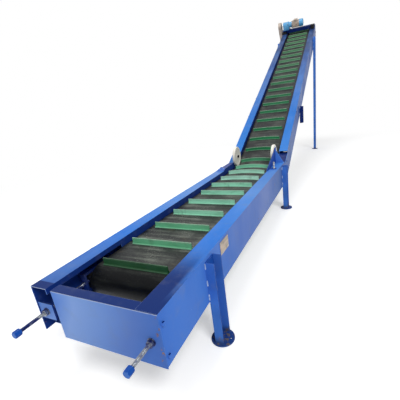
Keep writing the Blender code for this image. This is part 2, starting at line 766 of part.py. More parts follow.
def right_bracket():
    """Long side plate beside the wheel with its axle, a cross gusset and a foot on the rail top."""
    y = WHEEL_AXIS[0]
    low = TOP + GAP
    outer = BRACKET_X + BRACKET_SHEET
    outline = (
        (y - BRACKET_REACH, low),
        (y + 0.016, low),
        (y + 0.016, TOP + BRACKET_RISE),
        (y - 0.006, TOP + BRACKET_RISE),
        (y - BRACKET_REACH, low + 0.012),
    )
    side = extrude(outline, (BRACKET_X, outer), "X")
    inside = BRACKET_X + 0.001
    triangle = ((inside, low), (HALF - 0.008, low), (inside, TOP + BRACKET_RISE - 0.010))
    gusset = extrude(triangle, (y - 0.027, y - 0.021), "Y")
    foot = box((inside, STUD_X + 0.022), (STUD_Y - 0.035, STUD_Y + 0.035), (low, low + BRACKET_SHEET))
    return cut(union(side, gusset, foot, hold_axle(outer)), STUD_HOLE)


EDGE_SHEET = 0.0032
BOSS_HEIGHT = 0.018


def left_bracket():
    """Strap on the rail top whose raised inner edge climbs behind the wheel to its axle."""
    y, z = WHEEL_AXIS
    low = TOP + GAP
    outer = INNER - 0.0005
    outline = (
        (STUD_Y - 0.030, TOP - 0.035),
        (y + 0.016, TOP - 0.035),
        (y + 0.016, z + 0.028),
        (y - 0.020, z + 0.028),
        (y - 0.085, TOP + 0.034),
        (y - 0.160, TOP + 0.026),
        (STUD_Y - 0.030, TOP + 0.022),
    )
    edge = extrude(outline, (outer - EDGE_SHEET, outer), "X")
    reach = (STUD_Y - 0.045, FEED_LENGTH - 0.006)
    strap = box((outer - 0.001, HALF - 0.006), reach, (low, low + BRACKET_SHEET))
    boss = box(
        (STUD_X - 0.032, STUD_X + 0.032),
        (STUD_Y - 0.030, STUD_Y + 0.030),
        (low + 0.001, low + BOSS_HEIGHT),
    )
    return mirrored(cut(union(edge, strap, boss, hold_axle(outer)), STUD_HOLE))


def hold_stud(seat, top, nut):
    """The adjusting stud through the rail top, with a nut above and one below."""
    bar = rod((STUD_X, STUD_Y, TOP - 0.030), (STUD_X, STUD_Y, top), 0.008)
    above = rod((STUD_X, STUD_Y, seat), (STUD_X, STUD_Y, seat + 0.013), nut, 6)
    below = rod((STUD_X, STUD_Y, TOP - SHEET - GAP - 0.013), (STUD_X, STUD_Y, TOP - SHEET - GAP), 0.014, 6)
    return union(bar, above, below)


finish("hold_bracket_right", right_bracket(), FRAME_BLUE)
finish("hold_bracket_left", left_bracket(), FRAME_BLUE)
finish("hold_stud_right", hold_stud(TOP + 2 * GAP + BRACKET_SHEET, TOP + 0.078, 0.014), ZINC)
boss_top = TOP + 2 * GAP + BOSS_HEIGHT
finish("hold_stud_left", mirrored(hold_stud(boss_top, boss_top + 0.019, 0.018)), FRAME_BLUE)
for side, flip in (("right", False), ("left", True)):
    mesh = mirrored(hold_wheel()) if flip else hold_wheel()
    obj = finish("hold_wheel_" + side, mesh, NYLON, Matrix.Translation((0, *WHEEL_AXIS)))
    on_axis(obj, (0, *WHEEL_AXIS))

for side in ("right", "left"):
    rail = bpy.data.objects["rail_feed_" + side]
    sign = 1 if side == "right" else -1
    x = sign * STUD_X
    hole = rod((x, STUD_Y, TOP - 0.02), (x, STUD_Y, TOP + 0.1), 0.008 + RUNNING_GAP)
    rail.data = cut(rail.data.copy(), hole)
    rail.data.materials.clear()
    rail.data.materials.append(FRAME_BLUE)


# ---------------------------------------------------------------- slider beds
BED_WIDTH = BELT_WIDTH - 0.012
BED_TOP = INNER_TOP - GAP
BED_SHEET = 0.003
TIE_HEIGHT = 0.040
TIE_WIDTH = 0.030


def bed(start, end, ties):
    """Sheet under the carrying run with edge folds and cross ties between the webs."""
    half = BED_WIDTH / 2
    z = BED_TOP
    outline = (
        (-half, z),
        (-half, z - 0.020),
        (-half + BED_SHEET, z - 0.020),
        (-half + BED_SHEET, z - BED_SHEET),
        (half - BED_SHEET, z - BED_SHEET),
        (half - BED_SHEET, z - 0.020),
        (half, z - 0.020),
        (half, z),
    )
    sheet = extrude(outline, (start, end), "Y")
    bars = []
    for y in ties:
        bars.append(
            box(
                (-HALF + SHEET + GAP, HALF - SHEET - GAP),
                (y - TIE_WIDTH / 2, y + TIE_WIDTH / 2),
                (z - BED_SHEET - TIE_HEIGHT, z - BED_SHEET / 2),
            )
        )
    bars = [cut(bar, box((-half - 0.005, half + 0.005), (-9, 9), (z - BED_SHEET, z + 1))) for bar in bars]
    return union(sheet, *bars)


FEED_BED = (TAIL_PULLEY_Y + TAKEUP_TRAVEL + TAIL_PULLEY_RADIUS + 0.020, WHEEL_AXIS[0] - 0.030)
RISE_BED = (0.060, HEAD_ALONG - HEAD_PULLEY_RADIUS - 0.020)
TIE_SPACING = 0.800
FIRST_RISE_TIE = 0.350
RISE_TIE_COUNT = math.floor((RISE_BED[1] - TIE_WIDTH - FIRST_RISE_TIE) / TIE_SPACING) + 1
RISE_TIES = [FIRST_RISE_TIE + k * TIE_SPACING for k in range(RISE_TIE_COUNT)]
FEED_TIES = (0.70, 1.30, FEED_LENGTH - 0.860, FEED_LENGTH - 0.360)
finish("bed_feed", bed(*FEED_BED, FEED_TIES), FRAME_BLUE, LEVEL)
finish("bed_incline", bed(*RISE_BED, RISE_TIES), FRAME_BLUE, RISE)


# ---------------------------------------------------------------- legs
def leg(y, top):
    """An open channel against the outside of the web, on a round foot plate with two holes."""
    x0 = HALF + GAP
    x1 = x0 + LEG_DEPTH
    half = LEG_WIDTH / 2
    outline = (
        (x0, y - half),
        (x1, y - half),
        (x1, y - half + LEG_SHEET),
        (x0 + LEG_SHEET, y - half + LEG_SHEET),
        (x0 + LEG_SHEET, y + half - LEG_SHEET),
        (x1, y + half - LEG_SHEET),
        (x1, y + half),
        (x0, y + half),
    )
    post = extrude(outline, (FOOT_THICKNESS / 2, top), "Z")
    centre = ((x0 + x1) / 2, y)
    foot = extrude(circle(FOOT_RADIUS, 40, 0, centre), (0, FOOT_THICKNESS), "Z")
    holes = []
    for side in (-1, 1):
        spot = (centre[0] + side * 0.046, y + 0.006)
        holes.append(extrude(circle(0.006, 12, 0, spot), (-0.01, FOOT_THICKNESS * 2), "Z"))
    return union(cut(foot, *holes), post)


def under_incline(y, normal):
    """Height of the incline's rail line at this Y, out by this much."""
    return TOP + (y - FEED_LENGTH) * math.tan(SLOPE) + normal / math.cos(SLOPE)


LEGS = (
    ("feed", FEED_LEG_Y, TOP - 0.025),
    ("knee", KNEE_LEG_Y, TOP - 0.020),
    ("head", HEAD_LEG_Y, under_incline(HEAD_LEG_Y, -0.050)),
)
for name, y, top in LEGS:
    finish("leg_" + name + "_right", leg(y, top), FRAME_BLUE)
    finish("leg_" + name + "_left", mirrored(leg(y, top)), FRAME_BLUE)


def stub():
    """Short socket on the web for a middle support."""
    x0 = HALF + GAP
    top = under_incline(STUB_Y, -0.150)
    low = under_incline(STUB_Y, -RAIL_HEIGHT) - 0.140
    half = 0.040
    outline = (
        (x0, STUB_Y - half),
        (x0 + LEG_DEPTH, STUB_Y - half),
        (x0 + LEG_DEPTH, STUB_Y - half + LEG_SHEET),
        (x0 + LEG_SHEET, STUB_Y - half + LEG_SHEET),
        (x0 + LEG_SHEET, STUB_Y + half - LEG_SHEET),
        (x0 + LEG_DEPTH, STUB_Y + half - LEG_SHEET),
        (x0 + LEG_DEPTH, STUB_Y + half),
        (x0, STUB_Y + half),
    )
    return extrude(outline, (low, top), "Z")


finish("socket_right", stub(), FRAME_BLUE)
finish("socket_left", mirrored(stub()), FRAME_BLUE)


# ---------------------------------------------------------------- nameplate
name_plate = box((HALF + GAP, HALF + GAP + 0.0015), (0.620, 0.746), (-0.097, -0.019))
finish("nameplate", name_plate, PLATE_METAL, LEVEL)


# ---------------------------------------------------------------- head end
HEAD_LOCAL = (HEAD_ALONG, INNER_TOP - HEAD_PULLEY_RADIUS - GAP)


def head_bearing():
    """Square flanged bearing on the inner face of the web, with a round housing."""
    s, n = HEAD_LOCAL
    half = 0.062
    base = HALF - SHEET

    def span(near, far):
        return base - far, base - near

    def turned(*steps):
        return lathe([(base - reach, radius) for reach, radius in steps], 28, (s, n))

    flange = box(span(GAP, 0.016), (s - half, s + half), (n - half, n + half))
    reach = BEARING_DEPTH
    housing = turned((0.010, 0.046), (reach - 0.008, 0.042), (reach, 0.036))
    heads = []
    for a in (-0.044, 0.044):
        for b in (-0.044, 0.044):
            heads.append(lathe([(x, 0.009) for x in span(0.015, 0.026)], 6, (s + a, n + b)))
    bore = lathe(((0.2, SHAFT_RADIUS + GAP), (0.6, SHAFT_RADIUS + GAP)), 24, (s, n))
    return cut(union(flange, housing, *heads), bore)


finish("head_bearing_right", head_bearing(), DARK_STEEL, RISE)
finish("head_bearing_left", mirrored(head_bearing()), DARK_STEEL, RISE)


def beam_clamp(height):
    """Block bolted on the rail top against the cross beam."""
    front = BEAM_ALONG - GAP
    block = box((HALF - 0.086, HALF - 0.006), (front - 0.055, front), (GAP, height))
    bolts = []
    for x in (HALF - 0.070, HALF - 0.022):
        low = (x, front - 0.028, height - 0.002)
        bolts.append(rod(low, (x, front - 0.028, height + 0.011), 0.010, 6))
    return union(block, *bolts)


finish("beam_clamp_right", beam_clamp(0.085), DARK_STEEL, RISE)
finish("beam_clamp_left", mirrored(beam_clamp(0.042)), DARK_STEEL, RISE)

BEAM_WALL = 0.006
beam_far = BEAM_ALONG + BEAM_SIZE
console_z = GAP + BEAM_SIZE
beam = cut(
    box((-HALF, HALF), (BEAM_ALONG, beam_far), (GAP, console_z)),
    box((-1, 1), (BEAM_ALONG + BEAM_WALL, beam_far - BEAM_WALL), (GAP + BEAM_WALL, console_z - BEAM_WALL)),
)
console = box(
    (GEARBOX_X[0] - 0.015, GEARBOX_X[1] + 0.015),
    (DRIVE_ALONG - GEARBOX_DEPTH / 2, DRIVE_ALONG + GEARBOX_DEPTH / 2),
    (console_z - 0.004, console_z + 0.008),
)
finish("head_beam", union(beam, console), FRAME_BLUE, RISE)

gear_low = console_z + 0.008 + GAP
gear_high = gear_low + GEARBOX_HEIGHT
gear_y = (DRIVE_ALONG - GEARBOX_DEPTH / 2, DRIVE_ALONG + GEARBOX_DEPTH / 2)
case_outline = (
    (gear_y[0], gear_low),
    (gear_y[1], gear_low),
    (gear_y[1], gear_high - 0.045),
    (gear_y[1] - 0.040, gear_high),
    (gear_y[0] + 0.030, gear_high),
    (gear_y[0], gear_high - 0.040),
)
case = extrude(case_outline, GEARBOX_X, "X")
DRIVE_LOCAL = (DRIVE_ALONG, gear_low + GEARBOX_HEIGHT * 0.56)
adapter_steps = (
    (GEARBOX_X[1] - 0.004, 0.062),
    (GEARBOX_X[1] + 0.050, 0.058),
    (MOTOR_X[0] - 0.014, 0.070),
    (MOTOR_X[0] - GAP, 0.070),
)
adapter = lathe(adapter_steps, 32, DRIVE_LOCAL)
output_bore = lathe(((-0.6, 0.014 + GAP), (GEARBOX_X[0] + 0.050, 0.014 + GAP)), 20, DRIVE_LOCAL)
finish("gearbox", cut(union(case, adapter), output_bore), DRIVE_BLUE, RISE)

body = lathe(((MOTOR_X[0], MOTOR_RADIUS), (MOTOR_X[1], MOTOR_RADIUS)), 40, DRIVE_LOCAL)
terminal = box(
    (MOTOR_X[0] + 0.045, MOTOR_X[0] + 0.130),
    (DRIVE_LOCAL[0] - 0.045, DRIVE_LOCAL[0] + 0.045),
    (DRIVE_LOCAL[1] + 0.050, DRIVE_LOCAL[1] + MOTOR_RADIUS + 0.022),
)
finish("motor", union(body, terminal), GUARD_BEIGE, RISE)
cover_steps = (
    (MOTOR_X[1] + GAP, MOTOR_RADIUS + 0.002),
    (FAN_COVER_END - 0.014, MOTOR_RADIUS),
    (FAN_COVER_END, MOTOR_RADIUS - 0.014),
)
cover = lathe(cover_steps, 40, DRIVE_LOCAL)
finish("fan_cover", cover, DRIVE_BLUE, RISE)


# ---------------------------------------------------------------- chain drive
def sprocket(radius, bore_radius, teeth, centre):
    """Toothed disc with a hub, as an outline of short teeth."""
    outline = []
    for i in range(teeth):
        for part, reach in ((0.0, 1.0), (0.25, 1.0), (0.5, 0.93), (0.75, 0.93)):
            angle = 2 * math.pi * (i + part) / teeth
            out = radius * reach
            outline.append((centre[0] + out * math.cos(angle), centre[1] + out * math.sin(angle)))
    disc = extrude(outline, (CHAIN_X - 0.004, CHAIN_X + 0.004), "X")
    hub = lathe(((CHAIN_X - 0.020, bore_radius + 0.012), (CHAIN_X + 0.004, bore_radius + 0.012)), 24, centre)
    bore = lathe(((-1, bore_radius + GAP), (0, bore_radius + GAP)), 20, centre)
    return cut(union(disc, hub), bore)


TOOTH_GAP = 0.0008
drive_shaft = lathe(((CHAIN_X - 0.022, 0.014), (GEARBOX_X[0] + 0.048, 0.014)), 20, DRIVE_LOCAL)
shaft = finish("drive_shaft", drive_shaft, ZINC, RISE)
on_axis(shaft, RISE @ Vector((0, *DRIVE_LOCAL)))
small = finish("drive_sprocket", sprocket(DRIVE_SPROCKET_RADIUS, 0.014, 15, DRIVE_LOCAL), DARK_STEEL, RISE)
on_axis(small, RISE @ Vector((0, *DRIVE_LOCAL)))
head_wheel = sprocket(HEAD_SPROCKET_RADIUS, SHAFT_RADIUS, 21, HEAD_LOCAL)
large = finish("head_sprocket", head_wheel, DARK_STEEL, RISE)
on_axis(large, RISE @ Vector((0, *HEAD_LOCAL)))


CHAIN_ARC_STEPS = 16


def chain_outline(extra):
    """A band round both sprockets, in (along, normal)."""
    small = DRIVE_SPROCKET_RADIUS + TOOTH_GAP + extra
    large = HEAD_SPROCKET_RADIUS + TOOTH_GAP + extra
    along, rise = HEAD_LOCAL[0] - DRIVE_LOCAL[0], HEAD_LOCAL[1] - DRIVE_LOCAL[1]
    heading = math.atan2(rise, along)
    lean = math.asin((small - large) / math.hypot(along, rise))
    arcs = (
        (DRIVE_LOCAL, small, heading + math.pi / 2 - lean, math.pi + 2 * lean),
        (HEAD_LOCAL, large, heading - math.pi / 2 + lean, math.pi - 2 * lean),
    )
    points = []
    for centre, radius, begin, sweep in arcs:
        for k in range(CHAIN_ARC_STEPS + 1):
            angle = begin + sweep * k / CHAIN_ARC_STEPS
            points.append((centre[0] + radius * math.cos(angle), centre[1] + radius * math.sin(angle)))
    return points


chain_x = (CHAIN_X - CHAIN_WIDTH / 2, CHAIN_X + CHAIN_WIDTH / 2)
chain = cut(
    extrude(chain_outline(CHAIN_HEIGHT), chain_x, "X"),
    extrude(chain_outline(0.0), (CHAIN_X - 0.1, CHAIN_X + 0.1), "X"),
)
finish("chain", chain, DARK_STEEL, RISE)

GUARD_X = (CHAIN_X - 0.034, CHAIN_X + 0.032)
GUARD_SHEET = 0.003
GUARD_SPACER_OUT = 0.082
GUARD_ROOM = CHAIN_HEIGHT + 0.016
guard = cut(
    extrude(chain_outline(GUARD_ROOM), GUARD_X, "X"),
    extrude(chain_outline(GUARD_ROOM - GUARD_SHEET), (GUARD_X[0] + GUARD_SHEET, GUARD_X[1] + 0.1), "X"),
)
back = extrude(chain_outline(CHAIN_HEIGHT + 0.014), (GUARD_X[1] - GUARD_SHEET, GUARD_X[1]), "X")
back_holes = [
    lathe(((-0.6, 0.045), (-0.2, 0.045)), 24, DRIVE_LOCAL),
    lathe(((-0.6, 0.055), (-0.2, 0.055)), 24, HEAD_LOCAL),
]
spacers = []
for degrees in (-95, 5):
    turn = math.radians(degrees)
    y = HEAD_LOCAL[0] + GUARD_SPACER_OUT * math.cos(turn)
    z = HEAD_LOCAL[1] + GUARD_SPACER_OUT * math.sin(turn)
    spacers.append(rod((GUARD_X[1] - 0.001, y, z), (-HALF - GAP, y, z), 0.009, 12))
guard = union(guard, cut(back, *back_holes), *spacers)
finish("chain_guard", guard, GUARD_BEIGE, RISE)


# ---------------------------------------------------------------- origin
near_end = -TAKEUP_SCREW_OUT - SCREW_END_OUT
far_end = rise_point(INCLINE_LENGTH, -RAIL_HEIGHT)[0]
for obj in bpy.data.objects:
    obj.location.y -= (near_end + far_end) / 2
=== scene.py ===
"""Finishes and fine pieces for the inclined cleated belt conveyor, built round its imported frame."""

import json
import math

import bmesh
import bpy
from mathutils import Matrix, Vector


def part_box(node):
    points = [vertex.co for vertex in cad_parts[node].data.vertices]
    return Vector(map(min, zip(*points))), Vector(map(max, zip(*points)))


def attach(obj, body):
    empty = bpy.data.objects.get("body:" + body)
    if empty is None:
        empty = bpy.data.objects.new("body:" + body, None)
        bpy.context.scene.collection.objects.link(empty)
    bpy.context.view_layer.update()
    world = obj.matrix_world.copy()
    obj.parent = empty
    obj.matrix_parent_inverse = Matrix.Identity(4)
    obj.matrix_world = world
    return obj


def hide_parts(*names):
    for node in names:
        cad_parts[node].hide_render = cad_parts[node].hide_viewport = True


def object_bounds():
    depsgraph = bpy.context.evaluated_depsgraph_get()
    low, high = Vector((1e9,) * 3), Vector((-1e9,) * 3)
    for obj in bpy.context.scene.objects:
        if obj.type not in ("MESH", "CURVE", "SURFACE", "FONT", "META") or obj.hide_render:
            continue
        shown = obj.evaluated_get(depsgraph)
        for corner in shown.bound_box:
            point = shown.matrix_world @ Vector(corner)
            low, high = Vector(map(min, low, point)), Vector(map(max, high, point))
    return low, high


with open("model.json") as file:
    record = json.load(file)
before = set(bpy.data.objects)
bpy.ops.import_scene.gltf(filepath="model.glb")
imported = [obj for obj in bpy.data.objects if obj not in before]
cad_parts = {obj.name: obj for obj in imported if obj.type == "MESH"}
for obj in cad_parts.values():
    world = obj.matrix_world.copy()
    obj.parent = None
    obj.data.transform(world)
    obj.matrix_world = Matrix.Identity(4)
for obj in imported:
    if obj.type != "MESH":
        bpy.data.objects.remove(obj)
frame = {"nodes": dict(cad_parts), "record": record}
cad_low, cad_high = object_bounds()

SLOPE = math.radians(26.4)
FEED_LENGTH = 2.760  # end plate to knee
KNEE_RADIUS = 0.640  # the belt's own bend at the knee
BELT_THICKNESS = 0.008
SEAT = 0.0003  # gap between the belt and what it runs on
CLEAT_COUNT = 63
CLEAT_START = 0.016
CLEAT_WIDTH = 0.420
CLEAT_HEIGHT = 0.040


# ---------------------------------------------------------------- places taken from the frame
BOXES = {name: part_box(name) for name in frame["nodes"]}
FEED_Y = BOXES["end_plate"][0].y
RAIL_TOP = BOXES["end_plate"][1].z
HALF_WIDTH = BOXES["end_plate"][1].x


def middle(node):
    low, high = BOXES[node]
    return (low + high) / 2


def radius_of(node):
    low, high = BOXES[node]
    return (high.z - low.z) / 2


def span(node, axis):
    """A node's middle, and where it starts and ends along an axis, measured from there."""
    low, high = BOXES[node]
    centre = middle(node)
    i = "XYZ".index(axis)
    return centre, low[i] - centre[i], high[i] - centre[i]


# ---------------------------------------------------------------- node trees
class Nodes:
    """A node tree, with the short way to add a node and to set or link its inputs."""

    def __init__(self, tree):
        self.tree = tree

    def node(self, kind, settings=None, **inputs):
        made = self.tree.nodes.new(kind)
        for key, value in (settings or {}).items():
            setattr(made, key, value)
        for key, value in inputs.items():
            self.feed(made.inputs[key.replace("_", " ")], value)
        return made

    def feed(self, socket, value):
        if isinstance(value, bpy.types.NodeSocket):
            self.tree.links.new(value, socket)
        else:
            socket.default_value = value

    def fed(self, kind, settings, *values):
        """The first output of a node whose inputs are filled in their own order."""
        made = self.node(kind, settings)
        for socket, value in zip(made.inputs, values):
            self.feed(socket, value)
        return made.outputs[0]

    def maths(self, operation, *values, clamp=False):
        return self.fed("ShaderNodeMath", {"operation": operation, "use_clamp": clamp}, *values)

    def times(self, *values):
        return self.maths("MULTIPLY", *values)

    def plus(self, *values, clamp=False):
        return self.maths("ADD", *values, clamp=clamp)

    def minus(self, *values):
        return self.maths("SUBTRACT", *values)

    def most(self, *values):
        return self.maths("MAXIMUM", *values)

    def size(self, value):
        return self.maths("ABSOLUTE", value)


# ---------------------------------------------------------------- camera, light and floor
CAMERA_STAND = Vector((0.974, -0.6764, 1.234))  # from the feed end's middle, at the floor
CAMERA_TURN = (25.424, -17.760, -6.952)  # heading, pitch and roll in degrees
CAMERA_LENS = 25.31
CAMERA_SHIFT = -0.0325


def set_camera():
    """Stands to the right of the feed end at eye height and looks up the belt."""
    heading, pitch, roll = (math.radians(angle) for angle in CAMERA_TURN)
    data = bpy.data.cameras.new("camera")
    data.sensor_width = 36.0
    data.lens = CAMERA_LENS
    data.shift_x = CAMERA_SHIFT
    camera = bpy.data.objects.new("camera", data)
    turn = Matrix.Rotation(heading, 4, "Z") @ Matrix.Rotation(math.pi / 2 + pitch, 4, "X")
    place = Matrix.Translation(CAMERA_STAND + Vector((0, FEED_Y, 0)))
    camera.matrix_world = place @ turn @ Matrix.Rotation(roll, 4, "Z")
    bpy.context.scene.collection.objects.link(camera)
    bpy.context.scene.camera = camera


def area_light(name, place, target, size, watts):
    data = bpy.data.lights.new(name, "AREA")
    data.shape = "DISK"
    data.size = size
    data.energy = watts
    light = bpy.data.objects.new(name, data)
    light.location = place
    light.rotation_euler = (Vector(target) - Vector(place)).to_track_quat("-Z", "Y").to_euler()
    bpy.context.scene.collection.objects.link(light)


WORLD_LIGHT = 0.38
FLOOR_PAINT = 0.90
FLOOR_GLOW = 0.42
FLOOR_FADE = (4.2, 6.5)  # distances from the middle between which the floor turns plain white


def set_light():
    world = bpy.data.worlds.new("studio")
    world.use_nodes = True
    bpy.context.scene.world = world
    sky = Nodes(world.node_tree)
    sky.tree.nodes.clear()
    rays = sky.node("ShaderNodeLightPath").outputs
    direct = sky.most(rays["Is Camera Ray"], rays["Is Glossy Ray"])
    seen = sky.most(direct, rays["Is Transmission Ray"])
    strength = sky.node("ShaderNodeMapRange", Value=seen, To_Min=WORLD_LIGHT, To_Max=1.0)
    back = sky.node("ShaderNodeBackground", Color=(1, 1, 1, 1), Strength=strength.outputs[0])
    sky.node("ShaderNodeOutputWorld", Surface=back.outputs[0])
    mid = (cad_low + cad_high) / 2
    area_light("key", (5.0, cad_low.y - 2.5, 7.5), (0, cad_low.y + 2.0, 0.6), 3.0, 370)
    area_light("top", (-1.0, mid.y, 8.0), (0, mid.y, 1.2), 4.0, 250)


def set_floor():
    """A wide pale floor, white to the camera where nothing shades it."""
    bm = bmesh.new()
    bmesh.ops.create_grid(bm, x_segments=1, y_segments=1, size=60)
    mesh = bpy.data.meshes.new("floor")
    bm.to_mesh(mesh)
    bm.free()
    floor = helper("floor", mesh)
    material = bpy.data.materials.new("pale_floor")
    material.use_nodes = True
    look = Nodes(material.node_tree)
    look.tree.nodes.clear()
    paint = (FLOOR_PAINT, FLOOR_PAINT, FLOOR_PAINT, 1)
    matt = look.node("ShaderNodeBsdfDiffuse", Color=paint).outputs[0]
    glow = look.node("ShaderNodeEmission", Strength=FLOOR_GLOW).outputs[0]
    none = look.node("ShaderNodeEmission", Strength=0.0).outputs[0]
    white = look.node("ShaderNodeEmission", Color=(1, 1, 1, 1)).outputs[0]
    rays = look.node("ShaderNodeLightPath").outputs
    seen = look.most(rays["Is Camera Ray"], rays["Is Glossy Ray"])
    lit = look.fed("ShaderNodeMixShader", None, seen, none, glow)
    near = look.fed("ShaderNodeAddShader", None, matt, lit)
    place = look.node("ShaderNodeTexCoord").outputs["Object"]
    reach = look.node("ShaderNodeVectorMath", {"operation": "LENGTH"})
    look.feed(reach.inputs[0], place)
    far = look.node("ShaderNodeMapRange", {"interpolation_type": "SMOOTHSTEP"}, Value=reach.outputs["Value"])
    look.feed(far.inputs["From Min"], FLOOR_FADE[0])
    look.feed(far.inputs["From Max"], FLOOR_FADE[1])
    fade = look.fed("ShaderNodeMixShader", None, far.outputs[0], near, white)
    look.node("ShaderNodeOutputMaterial", Surface=fade)
    mesh.materials.append(material)


# ---------------------------------------------------------------- finishes
def tint(red, green, blue):
    """A colour as it looks on a screen, as the shader wants it."""
    linear = []
    for value in (red, green, blue):
        low = value / 12.92
        linear.append(low if value <= 0.04045 else ((value + 0.055) / 1.055) ** 2.4)
    return (*linear, 1.0)


class Finish(Nodes):
    """One procedural finish, with short names for the nodes it is made of."""

    def __init__(self, name, roughness, metallic=0.0, specular=0.5):
        self.material = bpy.data.materials.new(name)
        self.material.use_nodes = True
        super().__init__(self.material.node_tree)
        self.shader = self.tree.nodes["Principled BSDF"]
        self.shader.inputs["Roughness"].default_value = roughness
        self.shader.inputs["Metallic"].default_value = metallic
        self.shader.inputs["Specular IOR Level"].default_value = specular
        self.place = self.node("ShaderNodeTexCoord").outputs["Object"]

    def step(self, value, low, high, start=0.0, end=1.0):
        settings = {"interpolation_type": "SMOOTHSTEP"}
        made = self.node("ShaderNodeMapRange", settings, Value=value, From_Min=low, From_Max=high)
        self.feed(made.inputs["To Min"], start)
        self.feed(made.inputs["To Max"], end)
        return made.outputs[0]

    def stretched(self, scale, source=None, turn=(0.0, 0.0, 0.0)):
        made = self.node("ShaderNodeMapping", Vector=source or self.place, Scale=scale, Rotation=turn)
        return made.outputs[0]

    def noise(self, scale, detail=3.0, source=None, rough=0.55):
        made = self.node("ShaderNodeTexNoise", Vector=source or self.place, Scale=scale)
        made.inputs["Detail"].default_value = detail
        made.inputs["Roughness"].default_value = rough
        return made.outputs["Fac"]

    def mix(self, factor, first, second, blend="MIX"):
        made = self.node("ShaderNodeMix", {"data_type": "RGBA", "blend_type": blend})
        self.feed(made.inputs[0], factor)
        self.feed(made.inputs[6], first)
        self.feed(made.inputs[7], second)
        return made.outputs[2]

    def ramp(self, value, stops):
        """Colours that change with a value: stops are (value, (red, green, blue)), rising."""
        low, high = stops[0][0], stops[-1][0]
        share = self.node("ShaderNodeMapRange", Value=value, From_Min=low, From_Max=high).outputs[0]
        made = self.node("ShaderNodeValToRGB", Fac=share)
        band = made.color_ramp
        while len(band.elements) < len(stops):
            band.elements.new(0.5)
        for element, (place, colour) in zip(band.elements, stops):
            element.position = (place - low) / (high - low)
            element.color = tint(*colour)
        return made.outputs["Color"]

    def axes(self, vector):
        return self.node("ShaderNodeSeparateXYZ", Vector=vector).outputs

    def flat(self):
        return self.node("ShaderNodeNewGeometry").outputs["True Normal"]

    def facing(self):
        """The way the flat surface faces, as its x, y and z."""
        return self.axes(self.flat())

    def rounded(self, radius):
        """The normal rounded at the solid's corners."""
        return self.node("ShaderNodeBevel", {"samples": 6}, Radius=radius).outputs[0]

    def edge(self, radius):
        """How near a point is to a corner of the solid, and the normal rounded there."""
        rounded = self.rounded(radius)
        made = self.node("ShaderNodeVectorMath", {"operation": "DOT_PRODUCT"})
        self.feed(made.inputs[0], rounded)
        self.feed(made.inputs[1], self.flat())
        return self.step(made.outputs["Value"], 0.995, 0.80), rounded

    def bump(self, height, strength, distance, normal=None):
        made = self.node("ShaderNodeBump", Height=height, Strength=strength, Distance=distance)
        if normal is not None:
            self.feed(made.inputs["Normal"], normal)
        return made.outputs[0]

    def set(self, **inputs):
        for key, value in inputs.items():
            self.feed(self.shader.inputs[key.replace("_", " ")], value)
        return self.material


class Enamel(Finish):
    """Sprayed blue machine paint with its wear, shared by everything on the frame."""

    def __init__(self, name, roughness=0.36):
        super().__init__(name, roughness, specular=0.18)
        self.x, self.y, self.z = self.axes(self.place)
        self.along = self.minus(self.y, FEED_Y)
        self.way = self.facing()
        self.upright = self.step(self.size(self.way[2]), 0.80, 0.45)

    def finished(self, colour, wear=0.5, chips=0.8):
        """Lays edge wear with a painted highlight on the edges, chips, scratches, dust and orange peel over
        a colour.
        """
        edge, rounded = self.edge(0.0025)
        ragged = self.noise(34.0, 5.0)
        # pale edges: partly wear, partly painted highlight
        worn_and_highlit = self.times(edge, self.step(ragged, 0.42, 0.60))
        colour = self.mix(self.times(worn_and_highlit, wear), colour, tint(0.60, 0.69, 0.86))
        patches = self.noise(17.0, 6.0, rough=0.7)
        clouds = self.noise(2.3, 4.0)
        chipped = self.times(self.step(patches, 0.660, 0.675), self.step(clouds, 0.48, 0.60))
        rust = self.mix(self.noise(60.0, 2.0), tint(0.42, 0.27, 0.17), tint(0.62, 0.55, 0.45))
        colour = self.mix(self.times(chipped, chips), colour, rust)
        scratch = self.noise(9.0, 3.0, self.stretched((60.0, 3.0, 9.0), turn=(0.0, 0.3, 0.5)))
        colour = self.mix(self.step(scratch, 0.70, 0.80, 0.0, 0.30), colour, tint(0.62, 0.70, 0.84))
        dust = self.step(self.noise(12.0, 5.0), 0.50, 0.80, 0.0, 0.16)
        colour = self.mix(dust, colour, tint(0.52, 0.53, 0.55))
        rough = self.step(clouds, 0.3, 0.7, 0.30, 0.48)
        gloss = self.step(self.upright, 0.0, 1.0, 0.09, 0.04)
        peel = self.noise(210.0, 2.0)
        height = self.minus(peel, self.times(chipped, 3.0))
        skin = self.bump(height, 0.12, 0.0006, rounded)
        return self.set(Base_Color=colour, Roughness=rough, Specular_IOR_Level=gloss, Normal=skin)


